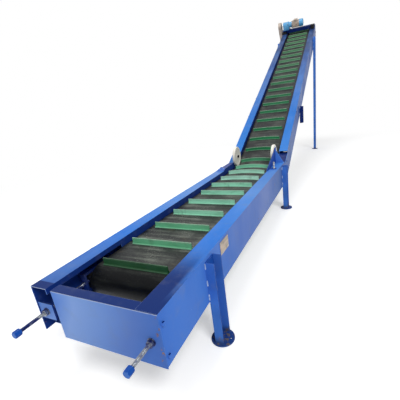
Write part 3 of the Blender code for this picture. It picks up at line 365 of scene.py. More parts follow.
def rail_enamel():
    """Rails and end plate: clear blue on top, greyer on the sides, darker towards the drive; the split
    between top and sides, the change along the rails and the end plate's gradient are painted light and
    shade.
    """
    look = Enamel("rail_enamel")
    # painted light and shade: the top and side colours follow how the light falls along the rails
    top = look.ramp(look.along, (
        (0.0, (0.24, 0.38, 0.66)),
        (0.6, (0.14, 0.46, 0.84)),
        (1.1, (0.20, 0.50, 0.85)),
        (1.5, (0.35, 0.56, 0.85)),
        (2.3, (0.29, 0.50, 0.81)),
        (3.0, (0.20, 0.50, 0.84)),
        (3.8, (0.15, 0.44, 0.78)),
        (4.6, (0.27, 0.45, 0.72)),
        (5.4, (0.20, 0.34, 0.59)),
        (6.3, (0.17, 0.27, 0.46)),
        (7.5, (0.13, 0.20, 0.37)),
    ))
    side = look.ramp(look.along, (
        (0.0, (0.26, 0.47, 0.83)),
        (0.5, (0.31, 0.51, 0.84)),
        (0.9, (0.34, 0.48, 0.77)),
        (1.6, (0.38, 0.49, 0.75)),
        (2.3, (0.33, 0.45, 0.69)),
        (3.2, (0.31, 0.42, 0.65)),
        (5.4, (0.28, 0.40, 0.65)),
        (7.5, (0.20, 0.30, 0.52)),
    ))
    streaks = look.noise(5.0, 4.0, look.stretched((1.0, 1.0, 0.25)))
    side = look.mix(look.step(streaks, 0.35, 0.70, 0.0, 0.26), side, tint(0.16, 0.36, 0.74))
    clouds = look.noise(3.0, 5.0, look.stretched((3.0, 1.0, 1.0)))
    top = look.mix(look.step(clouds, 0.40, 0.70, 0.0, 0.26), top, tint(0.38, 0.58, 0.88))
    # painted shadow darkens the feed end of the near flange and the folded lip of the end plate
    corner = look.times(look.step(look.along, 0.52, 0.20), look.step(look.x, 0.18, 0.26))
    lip = look.times(look.step(look.along, 0.056, 0.050), look.step(look.x, 0.262, 0.256))
    shaded = look.most(corner, lip)
    inboard = look.step(look.x, 0.362, 0.335)
    shaded = look.times(shaded, look.most(inboard, look.step(look.along, 0.30, 0.05)))
    top = look.mix(look.times(shaded, 0.96), top, tint(0.0, 0.15, 0.42))
    colour = look.mix(look.upright, top, side)
    # painted light on the end plate's front: paler towards its left, darker towards its right and lower down
    across = look.node("ShaderNodeMapRange", Value=look.x, From_Min=-0.222, From_Max=HALF_WIDTH).outputs[0]
    low = look.step(look.z, RAIL_TOP - 0.03, RAIL_TOP - 0.26, 0.0, 0.16)
    plate = look.ramp(look.plus(across, low), (
        (0.0, (0.36, 0.55, 0.90)),
        (0.22, (0.54, 0.68, 0.93)),
        (0.55, (0.45, 0.60, 0.88)),
        (0.80, (0.37, 0.51, 0.81)),
        (1.0, (0.30, 0.47, 0.80)),
        (1.16, (0.29, 0.45, 0.77)),
    ))
    end = look.times(look.step(look.way[1], -0.55, -0.95), look.step(look.along, 0.03, 0.01))
    colour = look.mix(end, colour, plate)
    # painted shade on the faces that look in towards the belt
    inward = look.step(look.times(look.way[0], look.x), -0.12, -0.20)
    colour = look.mix(look.times(inward, 0.90), colour, tint(0.05, 0.16, 0.46))
    # knocks on the near corner, down to the primer
    near = look.times(end, look.step(look.x, 0.335, 0.356))
    knocks = look.step(look.noise(34.0, 4.0, rough=0.6), 0.600, 0.615)
    primer = look.mix(look.noise(150.0, 2.0), tint(0.74, 0.56, 0.38), tint(0.20, 0.22, 0.34))
    colour = look.mix(look.times(near, knocks), colour, primer)
    # the folded top edge of the end plate is pale from rubbing and carries a painted highlight
    rubbed_and_lit = look.times(end, look.step(look.z, RAIL_TOP - 0.0050, RAIL_TOP - 0.0025))
    rubbed_and_lit = look.times(rubbed_and_lit, look.step(look.noise(26.0, 3.0), 0.30, 0.50, 0.35, 0.95))
    colour = look.mix(rubbed_and_lit, colour, tint(0.74, 0.79, 0.90))
    return look.finished(colour)


def leg_enamel():
    """Legs and plates under the frame: deeper blue, with painted light on faces turned to the front, darker
    and scuffed towards the floor.
    """
    look = Enamel("leg_enamel")
    # painted light: faces turned to the front are lighter than the sides
    front = look.step(look.way[1], -0.5, -0.9)
    colour = look.mix(front, tint(0.10, 0.31, 0.66), tint(0.28, 0.49, 0.84))
    colour = look.mix(look.step(look.noise(6.0, 4.0), 0.40, 0.70, 0.0, 0.35), colour, tint(0.14, 0.31, 0.62))
    foot = look.step(look.z, 0.060, 0.010)
    colour = look.mix(look.times(foot, 0.7), colour, tint(0.15, 0.24, 0.46))
    ground = look.step(look.z, 0.07, 0.01)
    scuffs = look.times(ground, look.step(look.noise(38.0, 5.0), 0.54, 0.62))
    colour = look.mix(look.times(scuffs, 0.8), colour, tint(0.46, 0.40, 0.30))
    return look.finished(colour, wear=0.35)


def shaded_enamel():
    """Plates that sit inside or over the belt, darkened with painted shade where the light reaches them
    least.
    """
    look = Enamel("shaded_enamel")
    colour = look.mix(look.noise(8.0, 4.0), tint(0.05, 0.13, 0.38), tint(0.10, 0.20, 0.48))
    return look.finished(colour, wear=0.30, chips=0.4)


def bracket_enamel():
    """Hold-down brackets: painted light on the near bracket and its front faces, painted shade on the far
    one, with bare dark steel on the wheels' axles.
    """
    look = Enamel("bracket_enamel")
    # painted light on the near bracket and on faces turned to the front, painted shade on the far bracket
    near = look.step(look.x, -0.05, 0.05)
    front = look.step(look.way[1], -0.3, -0.8)
    lit_face = look.mix(front, tint(0.12, 0.28, 0.62), tint(0.33, 0.55, 0.88))
    shaded_face = look.mix(look.noise(10.0, 3.0), tint(0.10, 0.20, 0.48), tint(0.16, 0.28, 0.60))
    boss = look.times(look.step(look.along, 2.45, 2.40), look.step(look.x, -0.262, -0.275))
    shaded_face = look.mix(boss, shaded_face, tint(0.45, 0.60, 0.90))
    colour = look.mix(near, shaded_face, lit_face)
    axle = look.step(look.size(look.x), 0.2552, 0.2545)
    colour = look.mix(axle, colour, tint(0.05, 0.06, 0.06))
    return look.finished(colour, wear=0.40)


def drive_enamel():
    look = Finish("drive_enamel", 0.30, specular=0.5)
    clouds = look.noise(14.0, 4.0)
    colour = look.mix(clouds, tint(0.26, 0.58, 0.80), tint(0.40, 0.68, 0.86))
    # painted shade on the gearbox's flank beside the motor
    facing = look.step(look.facing()[0], 0.5, 0.8)
    flank = look.times(facing, look.step(look.axes(look.place)[0], -0.19, -0.20))
    colour = look.mix(look.times(flank, 0.85), colour, tint(0.06, 0.18, 0.46))
    edge, rounded = look.edge(0.004)
    # pale edges: partly wear, partly painted highlight
    worn_and_highlit = look.times(edge, look.step(look.noise(60.0, 4.0), 0.45, 0.60))
    colour = look.mix(look.times(worn_and_highlit, 0.6), colour, tint(0.68, 0.78, 0.84))
    grime = look.step(look.noise(9.0, 5.0), 0.55, 0.75, 0.0, 0.45)
    colour = look.mix(grime, colour, tint(0.22, 0.30, 0.36))
    skin = look.bump(look.noise(300.0, 2.0), 0.15, 0.0005, rounded)
    return look.set(Base_Color=colour, Normal=skin)


def dusty_paint(name, dark, light, roughness):
    """A satin paint under a film of dust, for the guard and the motor."""
    look = Finish(name, roughness, specular=0.4)
    film = look.noise(11.0, 5.0)
    colour = look.mix(look.step(film, 0.3, 0.7), dark, light)
    edge, rounded = look.edge(0.003)
    # painted highlight along the edges
    colour = look.mix(look.times(edge, 0.45), colour, tint(0.86, 0.82, 0.76))
    spots = look.step(look.noise(48.0, 4.0), 0.64, 0.70, 0.0, 0.6)
    colour = look.mix(spots, colour, tint(0.34, 0.28, 0.23))
    skin = look.bump(look.noise(260.0, 3.0), 0.2, 0.0005, rounded)
    return look.set(Base_Color=colour, Normal=skin)


def belt_rubber():
    """Dark ribbed rubber with pale dust rubbed into it in bands across the belt."""
    look = Finish("belt_rubber", 0.62, specular=0.22)
    run = look.node("ShaderNodeUVMap", {"uv_map": "run"}).outputs[0]
    u = look.axes(run)[0]
    bands = look.noise(1.0, 5.0, look.stretched((2.2, 26.0, 1.0), run), 0.62)
    patches = look.noise(1.0, 5.0, look.stretched((5.0, 4.0, 1.0), run))
    fine = look.noise(1.0, 3.0, look.stretched((60.0, 420.0, 1.0), run), 0.6)
    dust = look.times(look.step(bands, 0.42, 0.66), look.step(patches, 0.34, 0.60))
    colour = look.mix(look.step(fine, 0.35, 0.65), tint(0.05, 0.06, 0.07), tint(0.17, 0.18, 0.18))
    colour = look.mix(look.times(dust, 0.85), colour, tint(0.47, 0.49, 0.46))
    speck = look.step(look.noise(1.0, 4.0, look.stretched((70.0, 110.0, 1.0), run), 0.7), 0.54, 0.66)
    speck = look.times(speck, look.step(patches, 0.42, 0.62, 0.10, 0.75))
    colour = look.mix(speck, colour, tint(0.56, 0.57, 0.53))
    brown = look.step(look.noise(1.0, 4.0, look.stretched((7.0, 9.0, 1.0), run)), 0.55, 0.78, 0.0, 0.40)
    colour = look.mix(brown, colour, tint(0.36, 0.32, 0.25))
    along = look.minus(look.axes(look.place)[1], FEED_Y)
    colour = look.mix(look.step(along, 2.7, 3.2, 0.0, 0.45), colour, tint(0.08, 0.09, 0.11))
    rim = look.step(look.size(u), 0.205, 0.245, 0.0, 0.65)
    colour = look.mix(rim, colour, tint(0.09, 0.10, 0.10))
    # painted shade: the belt round the tail drum is darkened, and its sheen changed there
    drum_shade = look.step(along, 0.42, 0.26)
    colour = look.mix(look.times(drum_shade, 0.92), colour, tint(0.05, 0.055, 0.065))
    rough = look.minus(look.step(dust, 0.0, 1.0, 0.50, 0.85), look.times(drum_shade, 0.12))
    gloss = look.step(drum_shade, 0.0, 1.0, 0.20, 0.10)
    weave = look.plus(look.times(fine, 0.5), bands)
    skin = look.bump(weave, 0.5, 0.0012)
    return look.set(Base_Color=colour, Roughness=rough, Specular_IOR_Level=gloss, Normal=skin)


def cleat_green():
    """Green moulded profile, pale along its top from rubbing and light along its foot, with painted light
    and shade along the belt: dark in the drum's shade, brightest on the level run.
    """
    look = Finish("cleat_green", 0.48, specular=0.45)
    run = look.node("ShaderNodeUVMap", {"uv_map": "run"}).outputs[0]
    v = look.axes(run)[1]
    along = look.minus(look.axes(look.place)[1], FEED_Y)
    # painted light and shade: the cleats' colour follows how the light falls along the belt
    body = look.ramp(along, (
        (0.25, (0.05, 0.22, 0.09)),
        (0.38, (0.08, 0.30, 0.14)),
        (0.50, (0.41, 0.74, 0.56)),
        (0.85, (0.43, 0.77, 0.59)),
        (1.10, (0.64, 0.94, 0.81)),
        (1.90, (0.62, 0.92, 0.80)),
        (2.15, (0.78, 0.97, 0.91)),
        (2.60, (0.48, 0.82, 0.66)),
        (2.95, (0.12, 0.56, 0.34)),
        (4.20, (0.18, 0.54, 0.35)),
        (5.50, (0.34, 0.58, 0.42)),
        (7.50, (0.24, 0.46, 0.28)),
    ))
    smear = look.noise(7.0, 5.0, look.stretched((1.0, 5.0, 5.0)))
    fine = look.noise(90.0, 3.0)
    deep = look.mix(0.28, body, tint(0.06, 0.40, 0.20))
    colour = look.mix(look.step(smear, 0.30, 0.60), deep, body)
    # less of the pale top and foot near the drum: painted shade there
    rubbed_and_lit = look.step(along, 0.42, 0.55, 0.15, 1.0)
    height = look.step(v, 0.74, 1.0, 0.0, 0.62)
    top = look.plus(height, look.step(fine, 0.4, 0.7, -0.15, 0.18), clamp=True)
    top = look.times(look.times(top, look.step(v, 0.62, 0.80)), rubbed_and_lit)
    colour = look.mix(top, colour, tint(0.66, 0.76, 0.68))
    foot = look.times(look.step(v, 0.16, 0.10, 0.0, 0.50), rubbed_and_lit)
    colour = look.mix(foot, colour, tint(0.58, 0.78, 0.67))
    dirt = look.step(look.noise(16.0, 5.0), 0.54, 0.76, 0.0, 0.35)
    colour = look.mix(dirt, colour, tint(0.24, 0.34, 0.27))
    return look.set(Base_Color=colour, Normal=look.bump(fine, 0.3, 0.0008))


def nylon():
    look = Finish("white_nylon", 0.42, specular=0.45)
    film = look.noise(16.0, 4.0)
    colour = look.mix(film, tint(0.95, 0.92, 0.86), tint(0.99, 0.98, 0.95))
    smudge = look.step(look.noise(26.0, 5.0), 0.60, 0.76, 0.0, 0.25)
    colour = look.mix(smudge, colour, tint(0.62, 0.56, 0.46))
    skin = look.bump(look.noise(300.0, 2.0), 0.1, 0.0004, look.rounded(0.0015))
    return look.set(Base_Color=colour, Normal=skin)


def bare_metal(name, dark, light, roughness, metallic, grime):
    """Plain steel, turned or drawn, with oil and dust in patches."""
    look = Finish(name, roughness, metallic)
    drawn = look.noise(40.0, 4.0, look.stretched((1.0, 0.15, 1.0)))
    colour = look.mix(look.step(drawn, 0.35, 0.65), dark, light)
    film = look.step(look.noise(22.0, 5.0), 0.48, 0.72, 0.0, grime)
    colour = look.mix(film, colour, tint(0.20, 0.18, 0.15))
    rough = look.step(drawn, 0.3, 0.7, roughness * 0.8, min(1.0, roughness * 1.3))
    skin = look.bump(look.noise(400.0, 2.0), 0.12, 0.0003, look.rounded(0.0010))
    return look.set(Base_Color=colour, Roughness=rough, Normal=skin)


def threaded_steel():
    """Plated rod with blue overspray caught in its thread."""
    look = Finish("threaded_steel", 0.34, 0.75)
    spray = look.step(look.noise(24.0, 4.0), 0.36, 0.54)
    colour = look.mix(spray, tint(0.60, 0.62, 0.64), tint(0.10, 0.16, 0.40))
    rough = look.step(spray, 0.0, 1.0, 0.26, 0.48)
    skin = look.bump(look.noise(300.0, 2.0), 0.1, 0.0003)
    return look.set(Base_Color=colour, Roughness=rough, Normal=skin)


FINISHES = {
    "frame_blue": rail_enamel(),
    "belt_rubber": belt_rubber(),
    "dark_steel": bare_metal("dark_steel", tint(0.10, 0.10, 0.11), tint(0.20, 0.20, 0.21), 0.45, 0.6, 0.5),
    "zinc_steel": bare_metal("zinc_steel", tint(0.62, 0.63, 0.63), tint(0.80, 0.81, 0.80), 0.32, 0.9, 0.3),
    "white_nylon": nylon(),
    "drive_blue": drive_enamel(),
    "guard_beige": dusty_paint("guard_beige", tint(0.62, 0.57, 0.53), tint(0.83, 0.77, 0.72), 0.5),
    "bare_plate": bare_metal("bare_plate", tint(0.56, 0.51, 0.45), tint(0.74, 0.67, 0.60), 0.40, 0.35, 0.35),
}
CLEAT_GREEN = cleat_green()
LEG_BLUE = leg_enamel()
SHADED_BLUE = shaded_enamel()
BRACKET_BLUE = bracket_enamel()
THREADED_STEEL = threaded_steel()
WELD_METAL = bare_metal("weld_metal", tint(0.50, 0.60, 0.78), tint(0.80, 0.86, 0.92), 0.45, 0.3, 0.2)
RUBBER_BLACK = bare_metal("rubber_black", tint(0.04, 0.04, 0.05), tint(0.10, 0.10, 0.11), 0.75, 0.0, 0.2)
BRASS = bare_metal("brass", tint(0.72, 0.62, 0.30), tint(0.90, 0.82, 0.50), 0.30, 0.8, 0.2)


def enamel_of(name):
    if name.startswith("leg_"):
        return LEG_BLUE
    if name.startswith(("splice_", "head_beam", "bed_", "takeup_frame_", "socket_")):
        return SHADED_BLUE
    if name.startswith(("hold_bracket_", "hold_stud_")):
        return BRACKET_BLUE
    return FINISHES["frame_blue"]


def dress_frame():
    """Every node of the frame takes the finish of its own slot."""
    slots = {row["node"]: row["material_slot"] for row in frame["record"]["subparts"]}
    for name, node in frame["nodes"].items():
        finish = enamel_of(name) if slots[name] == "frame_blue" else FINISHES[slots[name]]
        node.data.materials.clear()
        node.data.materials.append(finish)


# ---------------------------------------------------------------- mesh helpers
def piece(name, mesh, finish, body, stands_for=()):
    """Puts a finished mesh in the scene, on its body."""
    mesh.materials.clear()
    mesh.materials.append(finish)
    made = bpy.data.objects.new(name, mesh)
    bpy.context.scene.collection.objects.link(made)
    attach(made, body)
    if stands_for:
        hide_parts(*stands_for)
    return made


def smooth(mesh, degrees=35.0):
    mesh.shade_smooth()
    mesh.set_sharp_from_angle(angle=math.radians(degrees))
    return mesh


def mesh_from(bm, name):
    bmesh.ops.recalc_face_normals(bm, faces=bm.faces)
    mesh = bpy.data.meshes.new(name)
    bm.to_mesh(mesh)
    bm.free()
    return mesh


TURN_TO = {
    "X": Matrix.Identity(4),
    "Y": Matrix.Rotation(math.pi / 2, 4, "Z"),
    "Z": Matrix.Rotation(-math.pi / 2, 4, "Y"),
}


def turned(name, profile, centre, count=64, axis="X"):
    """A turned solid: profile points are (place along the axis, radius).

    The profile starts and ends on the axis, or comes back to its first point round a bore.
    A radius can also be a function of the angle, for a hexagon or a thread.
    """
    bm = bmesh.new()
    rings = []
    closed = profile[0] == profile[-1]
    for x, radius in profile[:-1] if closed else profile:
        if not callable(radius) and radius < 1e-6:
            rings.append([bm.verts.new((x, 0.0, 0.0))])
            continue
        ring = []
        for k in range(count):
            angle = 2 * math.pi * k / count
            reach = radius(angle) if callable(radius) else radius
            ring.append(bm.verts.new((x, reach * math.cos(angle), reach * math.sin(angle))))
        rings.append(ring)
    if closed:
        rings.append(rings[0])
    for first, second in zip(rings, rings[1:]):
        for k in range(count):
            j = (k + 1) % count
            if len(first) == 1:
                bm.faces.new((first[0], second[k], second[j]))
            elif len(second) == 1:
                bm.faces.new((first[k], first[j], second[0]))
            else:
                bm.faces.new((first[k], first[j], second[j], second[k]))
    mesh = smooth(mesh_from(bm, name))
    mesh.transform(Matrix.Translation(centre) @ TURN_TO[axis])
    return mesh


def hexagon(corner, cap=1.0):
    """Radius of a hexagon at each angle, cut off by the circle of its chamfer."""
    def reach(angle):
        flat = corner * math.cos(math.pi / 6) / math.cos(angle % (math.pi / 3) - math.pi / 6)
        return min(flat, cap)
    return reach


def thread(place, crest, pitch):
    """Radius of a screw thread at each angle, at one place along the rod."""
    depth = 0.55 * pitch

    def reach(angle):
        phase = (place / pitch - angle / (2 * math.pi)) % 1.0
        return crest - depth * abs(2 * phase - 1)
    return reach


def threaded_rod(name, start, end, crest, pitch, centre, axis):
    """A rod with its thread cut all along it and chamfered ends."""
    steps = math.ceil((end - start) / (pitch / 4))
    core = crest - 0.55 * pitch
    profile = [(start, 0.0), (start, core * 0.9)]
    for k in range(1, steps):
        place = start + (end - start) * k / steps
        profile.append((place, thread(place, crest, pitch)))
    profile.extend(((end, core * 0.9), (end, 0.0)))
    return turned(name, profile, centre, 24, axis)


def hex_block(name, start, end, corner, bore, centre, axis):
    """A chamfered hexagon, with a bore or solid."""
    soft = corner * 0.09
    cap = corner * 0.955
    outline = (
        (start, corner * 0.82),
        (start + soft, hexagon(corner, cap)),
        (start + 2 * soft, hexagon(corner)),
        (end - 2 * soft, hexagon(corner)),
        (end - soft, hexagon(corner, cap)),
        (end, corner * 0.82),
    )
    if bore:
        return turned(name, [(start, bore), *outline, (end, bore), (start, bore)], centre, 48, axis)
    return turned(name, [(start, 0.0), *outline, (end, 0.0)], centre, 48, axis)


def ring(name, start, end, outer, bore, centre, axis):
    """A flat washer with softened edges."""
    soft = min(0.0006, (end - start) / 3)
    outline = (
        (start, bore),
        (start, outer - soft),
        (start + soft, outer),
        (end - soft, outer),
        (end, outer - soft),
        (end, bore),
        (start, bore),
    )
    return turned(name, list(outline), centre, 48, axis)


def prism(name, outline, x_range, soft, place):
    """A block with the outline (y, z) along X, all its edges softened, put where place says."""
    bm = bmesh.new()
    low = [bm.verts.new((x_range[0], y, z)) for y, z in outline]
    high = [bm.verts.new((x_range[1], y, z)) for y, z in outline]
    bm.faces.new(low)
    bm.faces.new(list(reversed(high)))
    for k in range(len(outline)):
        n = (k + 1) % len(outline)
        bm.faces.new((low[k], high[k], high[n], low[n]))
    bmesh.ops.recalc_face_normals(bm, faces=bm.faces)
    bmesh.ops.bevel(bm, geom=bm.edges[:], offset=soft, segments=3, profile=0.5, affect="EDGES")
    mesh = smooth(mesh_from(bm, name), 40.0)
    mesh.transform(place)
    return mesh


def joined(name, meshes):
    """Several meshes of one finish as one."""
    bm = bmesh.new()
    for mesh in meshes:
        bm.from_mesh(mesh)
        bpy.data.meshes.remove(mesh)
    mesh = bpy.data.meshes.new(name)
    bm.to_mesh(mesh)
    bm.free()
    return mesh


def rectangle(y_range, z_range):
    (y0, y1), (z0, z1) = y_range, z_range
    return ((y0, z0), (y1, z0), (y1, z1), (y0, z1))


# ---------------------------------------------------------------- belt
def knee_centre():
    """Centre (y, z) of the bend that the belt's carrying face makes at the knee."""
    wheel = middle("hold_wheel_right")
    reach = KNEE_RADIUS - radius_of("hold_wheel_right")
    return wheel.y - reach * math.sin(SLOPE / 2), wheel.z + reach * math.cos(SLOPE / 2)


def belt_corner():
    """Where the level and the rising runs of the carrying face would meet."""
    top = middle("tail_pulley").z + radius_of("tail_pulley") + SEAT + BELT_THICKNESS
    return knee_centre()[0] + KNEE_RADIUS * math.tan(SLOPE / 2), top


def belt_turns():
    """Circles that the belt's inner face goes round, as (y, z), radius and side."""
    tail, head, bend = middle("tail_pulley"), middle("head_pulley"), middle("bend_roller")
    return (
        ((tail.y, tail.z), radius_of("tail_pulley") + SEAT, 1),
        (knee_centre(), KNEE_RADIUS + SEAT + BELT_THICKNESS, -1),
        ((head.y, head.z), radius_of("tail_pulley") + SEAT, 1),
        ((bend.y, bend.z), radius_of("bend_roller") + SEAT, 1),
    )


def tangent(first, second):
    """The way out of the belt on the straight run between two circles."""
    (y1, z1), r1, s1 = first
    (y2, z2), r2, s2 = second
    lean = math.asin((s1 * r1 - s2 * r2) / math.hypot(y2 - y1, z2 - z1))
    return math.atan2(z2 - z1, y2 - y1) + math.pi / 2 - lean


STRAIGHT_STEP = 0.045
ARC_STEP = math.radians(4.0)


def belt_path():
    """Points on the inner face all the way round, each as (y, z) and the way out there."""
    turns = belt_turns()
    headings = [tangent(turns[i], turns[(i + 1) % 4]) for i in range(4)]
    path = []
    for i, ((cy, cz), radius, side) in enumerate(turns):
        begin, sweep = headings[i - 1], headings[i] - headings[i - 1]
        while sweep * side > 1e-9:
            sweep -= 2 * math.pi * side
        while sweep * side < -2 * math.pi:
            sweep += 2 * math.pi * side
        steps = max(2, math.ceil(abs(sweep) / ARC_STEP), math.ceil(abs(sweep) * radius / STRAIGHT_STEP))
        for k in range(steps + 1):
            angle = begin + sweep * k / steps
            out = (math.cos(angle), math.sin(angle))
            path.append(((cy + side * radius * out[0], cz + side * radius * out[1]), out))
        (ny, nz), reach, turn = turns[(i + 1) % 4]
        out = (math.cos(headings[i]), math.sin(headings[i]))
        end = (ny + turn * reach * out[0], nz + turn * reach * out[1])
        start = path[-1][0]
        run = math.dist(start, end)
        count = math.ceil(run / STRAIGHT_STEP)
        for k in range(1, count):
            share = k / count
            y = start[0] + share * (end[0] - start[0])
            z = start[1] + share * (end[1] - start[1])
            path.append(((y, z), out))
    return path


def path_lengths():
    """How far along the belt each point of its path lies, with the whole length last."""
    lengths = [0.0]
    for (here, _), (after, _) in zip(BELT_PATH, BELT_PATH[1:] + BELT_PATH[:1]):
        lengths.append(lengths[-1] + math.dist(here, after))
    return lengths


BELT_PATH = belt_path()
BELT_CORNER = belt_corner()
RUN_DEPTH = 0.06  # what lies deeper than this under the carrying face is the return run
KNEE_CROWN = 0.024  # how far the belt's middle stands up between the hold-down wheels
KNEE_SPREAD = 0.62
KNEE_REACH = 2.2
KNEE_BLEND = 0.3  # stretch over which the lift leans from upright to square with the rise
EDGE_HELD = 0.228


def crown(point):
    """Lift of the carrying run near the knee, where only its edges are held down."""
    away = point.y - middle("hold_wheel_right").y
    if abs(away) > KNEE_REACH:
        return 0.0
    across = max(0.0, 1.0 - (point.x / EDGE_HELD) ** 2)
    return KNEE_CROWN * across * math.exp(-((away / KNEE_SPREAD) ** 2))


def carrying(y, z):
    """True on the upper run of the belt."""
    corner_y, level = BELT_CORNER
    if y > corner_y:
        level += (y - corner_y) * math.tan(SLOPE)
    return z > level - RUN_DEPTH


def lift(mesh):
    """Raises the middle of the belt and its cleats along the belt's own outward direction."""
    for vertex in mesh.vertices:
        y, z = vertex.co.y, vertex.co.z
        if not carrying(y, z):
            continue
        rise = crown(vertex.co)
        blend = min(1.0, max(0.0, (y - BELT_CORNER[0]) / KNEE_BLEND + 0.5))
        angle = SLOPE * blend
        vertex.co.y -= rise * math.sin(angle)
        vertex.co.z += rise * math.cos(angle)


def belt_section():
    """Across the belt: (x, height) round the edge, with small rounded corners."""
    half = BOXES["belt"][1].x
    soft = 0.002
    columns = 16
    outline = []
    for k in range(columns + 1):
        outline.append((-half + soft + (2 * half - 2 * soft) * k / columns, BELT_THICKNESS))
    outline.append((half, BELT_THICKNESS - soft))
    outline.append((half, soft))
    for k in range(columns + 1):
        outline.append((half - soft - (2 * half - 2 * soft) * k / columns, 0.0))
    outline.append((-half, soft))
    outline.append((-half, BELT_THICKNESS - soft))
    return outline


def belt_band():
    outline = belt_section()
    bm = bmesh.new()
    layer = bm.loops.layers.uv.new("run")
    rings, lengths = [], path_lengths()
    for (y, z), out in BELT_PATH:
        rings.append([bm.verts.new((x, y + h * out[0], z + h * out[1])) for x, h in outline])
    count, around = len(rings), len(outline)
    for i in range(count):
        for k in range(around):
            n = (k + 1) % around
            j = (i + 1) % count
            face = bm.faces.new((rings[i][k], rings[i][n], rings[j][n], rings[j][k]))
            corners = ((k, i), (n, i), (n, i + 1), (k, i + 1))
            for loop, (column, row) in zip(face.loops, corners):
                loop[layer].uv = (outline[column][0], lengths[row])
    mesh = mesh_from(bm, "belt_band")
    lift(mesh)
    return smooth(mesh, 50.0)


def cleat_outline():
    """Along the belt and out of it, one cleat in section: a low foot and an upright blade."""
    sink, foot, step = BELT_THICKNESS * 0.6, 0.013, BELT_THICKNESS + 0.005
    high = BELT_THICKNESS + CLEAT_HEIGHT
    right = (
        (foot, sink),
        (foot, step - 0.002),
        (foot - 0.002, step),
        (0.0058, step + 0.0012),
        (0.0038, step + 0.005),
        (0.0032, high - 0.003),
        (0.0020, high - 0.0006),
    )
    left = [(-a, b) for a, b in reversed(right)]
    return [*right, (0.0, high), *left]


def cleat_mesh():
    """One cleat with its length along X and its foot on the belt."""
    outline = cleat_outline()
    columns = 18
    bm = bmesh.new()
    layer = bm.loops.layers.uv.new("run")
    rings = []
    for k in range(columns + 1):
        x = -CLEAT_WIDTH / 2 + CLEAT_WIDTH * k / columns
        rings.append([bm.verts.new((x, a, b)) for a, b in outline])
    for first, second in zip(rings, rings[1:]):
        for k in range(len(outline)):
            n = (k + 1) % len(outline)
            bm.faces.new((first[k], first[n], second[n], second[k]))
    bm.faces.new(rings[0])
    bm.faces.new(rings[-1])
    for face in bm.faces:
        for loop in face.loops:
            point = loop.vert.co
            loop[layer].uv = (point.x, (point.z - BELT_THICKNESS) / CLEAT_HEIGHT)
    return mesh_from(bm, "cleat")


# ---------------------------------------------------------------- repeats, by Geometry Nodes
def helper(name, data):
    """An object in the scene, mostly one that a tree starts from."""
    made = bpy.data.objects.new(name, data)
    bpy.context.scene.collection.objects.link(made)
    return made


class Repeat(Nodes):
    """A Geometry Nodes tree that spreads copies of one piece, and the short way to run it."""

    def __init__(self, name, **inputs):
        super().__init__(bpy.data.node_groups.new(name, "GeometryNodeTree"))
        self.keys = {}
        self.socket("Geometry", "Geometry")
        for key, kind in {**inputs, "Piece": "Object", "Finish": "Material"}.items():
            self.keys[key] = self.socket(key, kind).identifier
        self.socket("Geometry", "Geometry", "OUTPUT")
        self.start = self.node("NodeGroupInput").outputs
        self.end = self.node("NodeGroupOutput").inputs

    def socket(self, name, kind, way="INPUT"):
        return self.tree.interface.new_socket(name, in_out=way, socket_type="NodeSocket" + kind)

    def spread(self, points, **inputs):
        """Puts a copy of the piece on each point, gives it its finish and ends the tree."""
        source = self.node("GeometryNodeObjectInfo", Object=self.start["Piece"])
        placed = self.node("GeometryNodeInstanceOnPoints", Points=points, **inputs)
        self.feed(placed.inputs["Instance"], source.outputs["Geometry"])
        real = self.node("GeometryNodeRealizeInstances", Geometry=placed.outputs[0])
        coat = self.node("GeometryNodeSetMaterial", Geometry=real.outputs[0], Material=self.start["Finish"])
        self.feed(self.end[0], coat.outputs[0])
        return self

    def run(self, base, name, shape, finish, **values):
        """The plain mesh of a shape's copies on a base object, which is then removed."""
        copied = helper(name + "_copied", shape)
        modifier = base.modifiers.new(name, "NODES")
        modifier.node_group = self.tree
        for key, value in {**values, "Piece": copied, "Finish": finish}.items():
            modifier[self.keys[key]] = value
        graph = bpy.context.evaluated_depsgraph_get()
        mesh = bpy.data.meshes.new_from_object(base.evaluated_get(graph))
        mesh.name = name
        base.modifiers.clear()
        bpy.data.objects.remove(base, do_unlink=True)
        bpy.data.objects.remove(copied, do_unlink=True)
        return mesh


def closed_curve(name, points):
    """A closed run of straight stretches through (x, y, z) points."""
    data = bpy.data.curves.new(name, "CURVE")
    data.dimensions = "3D"
    spline = data.splines.new("POLY")
    spline.points.add(len(points) - 1)
    for target, point in zip(spline.points, points):
        target.co = (*point, 1.0)
    spline.use_cyclic_u = True
    return helper(name, data)


def point_helper(name, points):
    mesh = bpy.data.meshes.new(name)
    mesh.from_pydata(points, [], [])
    return helper(name, mesh)


def path_repeat():
    """Copies evenly along a closed path that lies across X."""
    tree = Repeat("along_path", Count="Int")
    kept = tree.node("GeometryNodeCaptureAttribute", Geometry=tree.start["Geometry"])
    kept.capture_items.new("VECTOR", "heading")
    tree.feed(kept.inputs[1], tree.node("GeometryNodeInputTangent").outputs[0])
    even = tree.node("GeometryNodeResampleCurve", Curve=kept.outputs[0], Count=tree.start["Count"])
    axes = {"primary_axis": "Y", "secondary_axis": "X"}
    turn = tree.fed("FunctionNodeAxesToRotation", axes, kept.outputs[1], (1.0, 0.0, 0.0))
    return tree.spread(even.outputs[0], Rotation=turn)


def round_repeat():
    """Copies evenly round the X axis."""
    tree = Repeat("round_axis", Count="Int")
    points = tree.node("GeometryNodePoints", Count=tree.start["Count"])
    share = tree.maths("DIVIDE", 2 * math.pi, tree.start["Count"])
    angle = tree.times(tree.node("GeometryNodeInputIndex").outputs[0], share)
    turn = tree.node("ShaderNodeCombineXYZ", X=angle)
    return tree.spread(points.outputs[0], Rotation=turn.outputs[0])


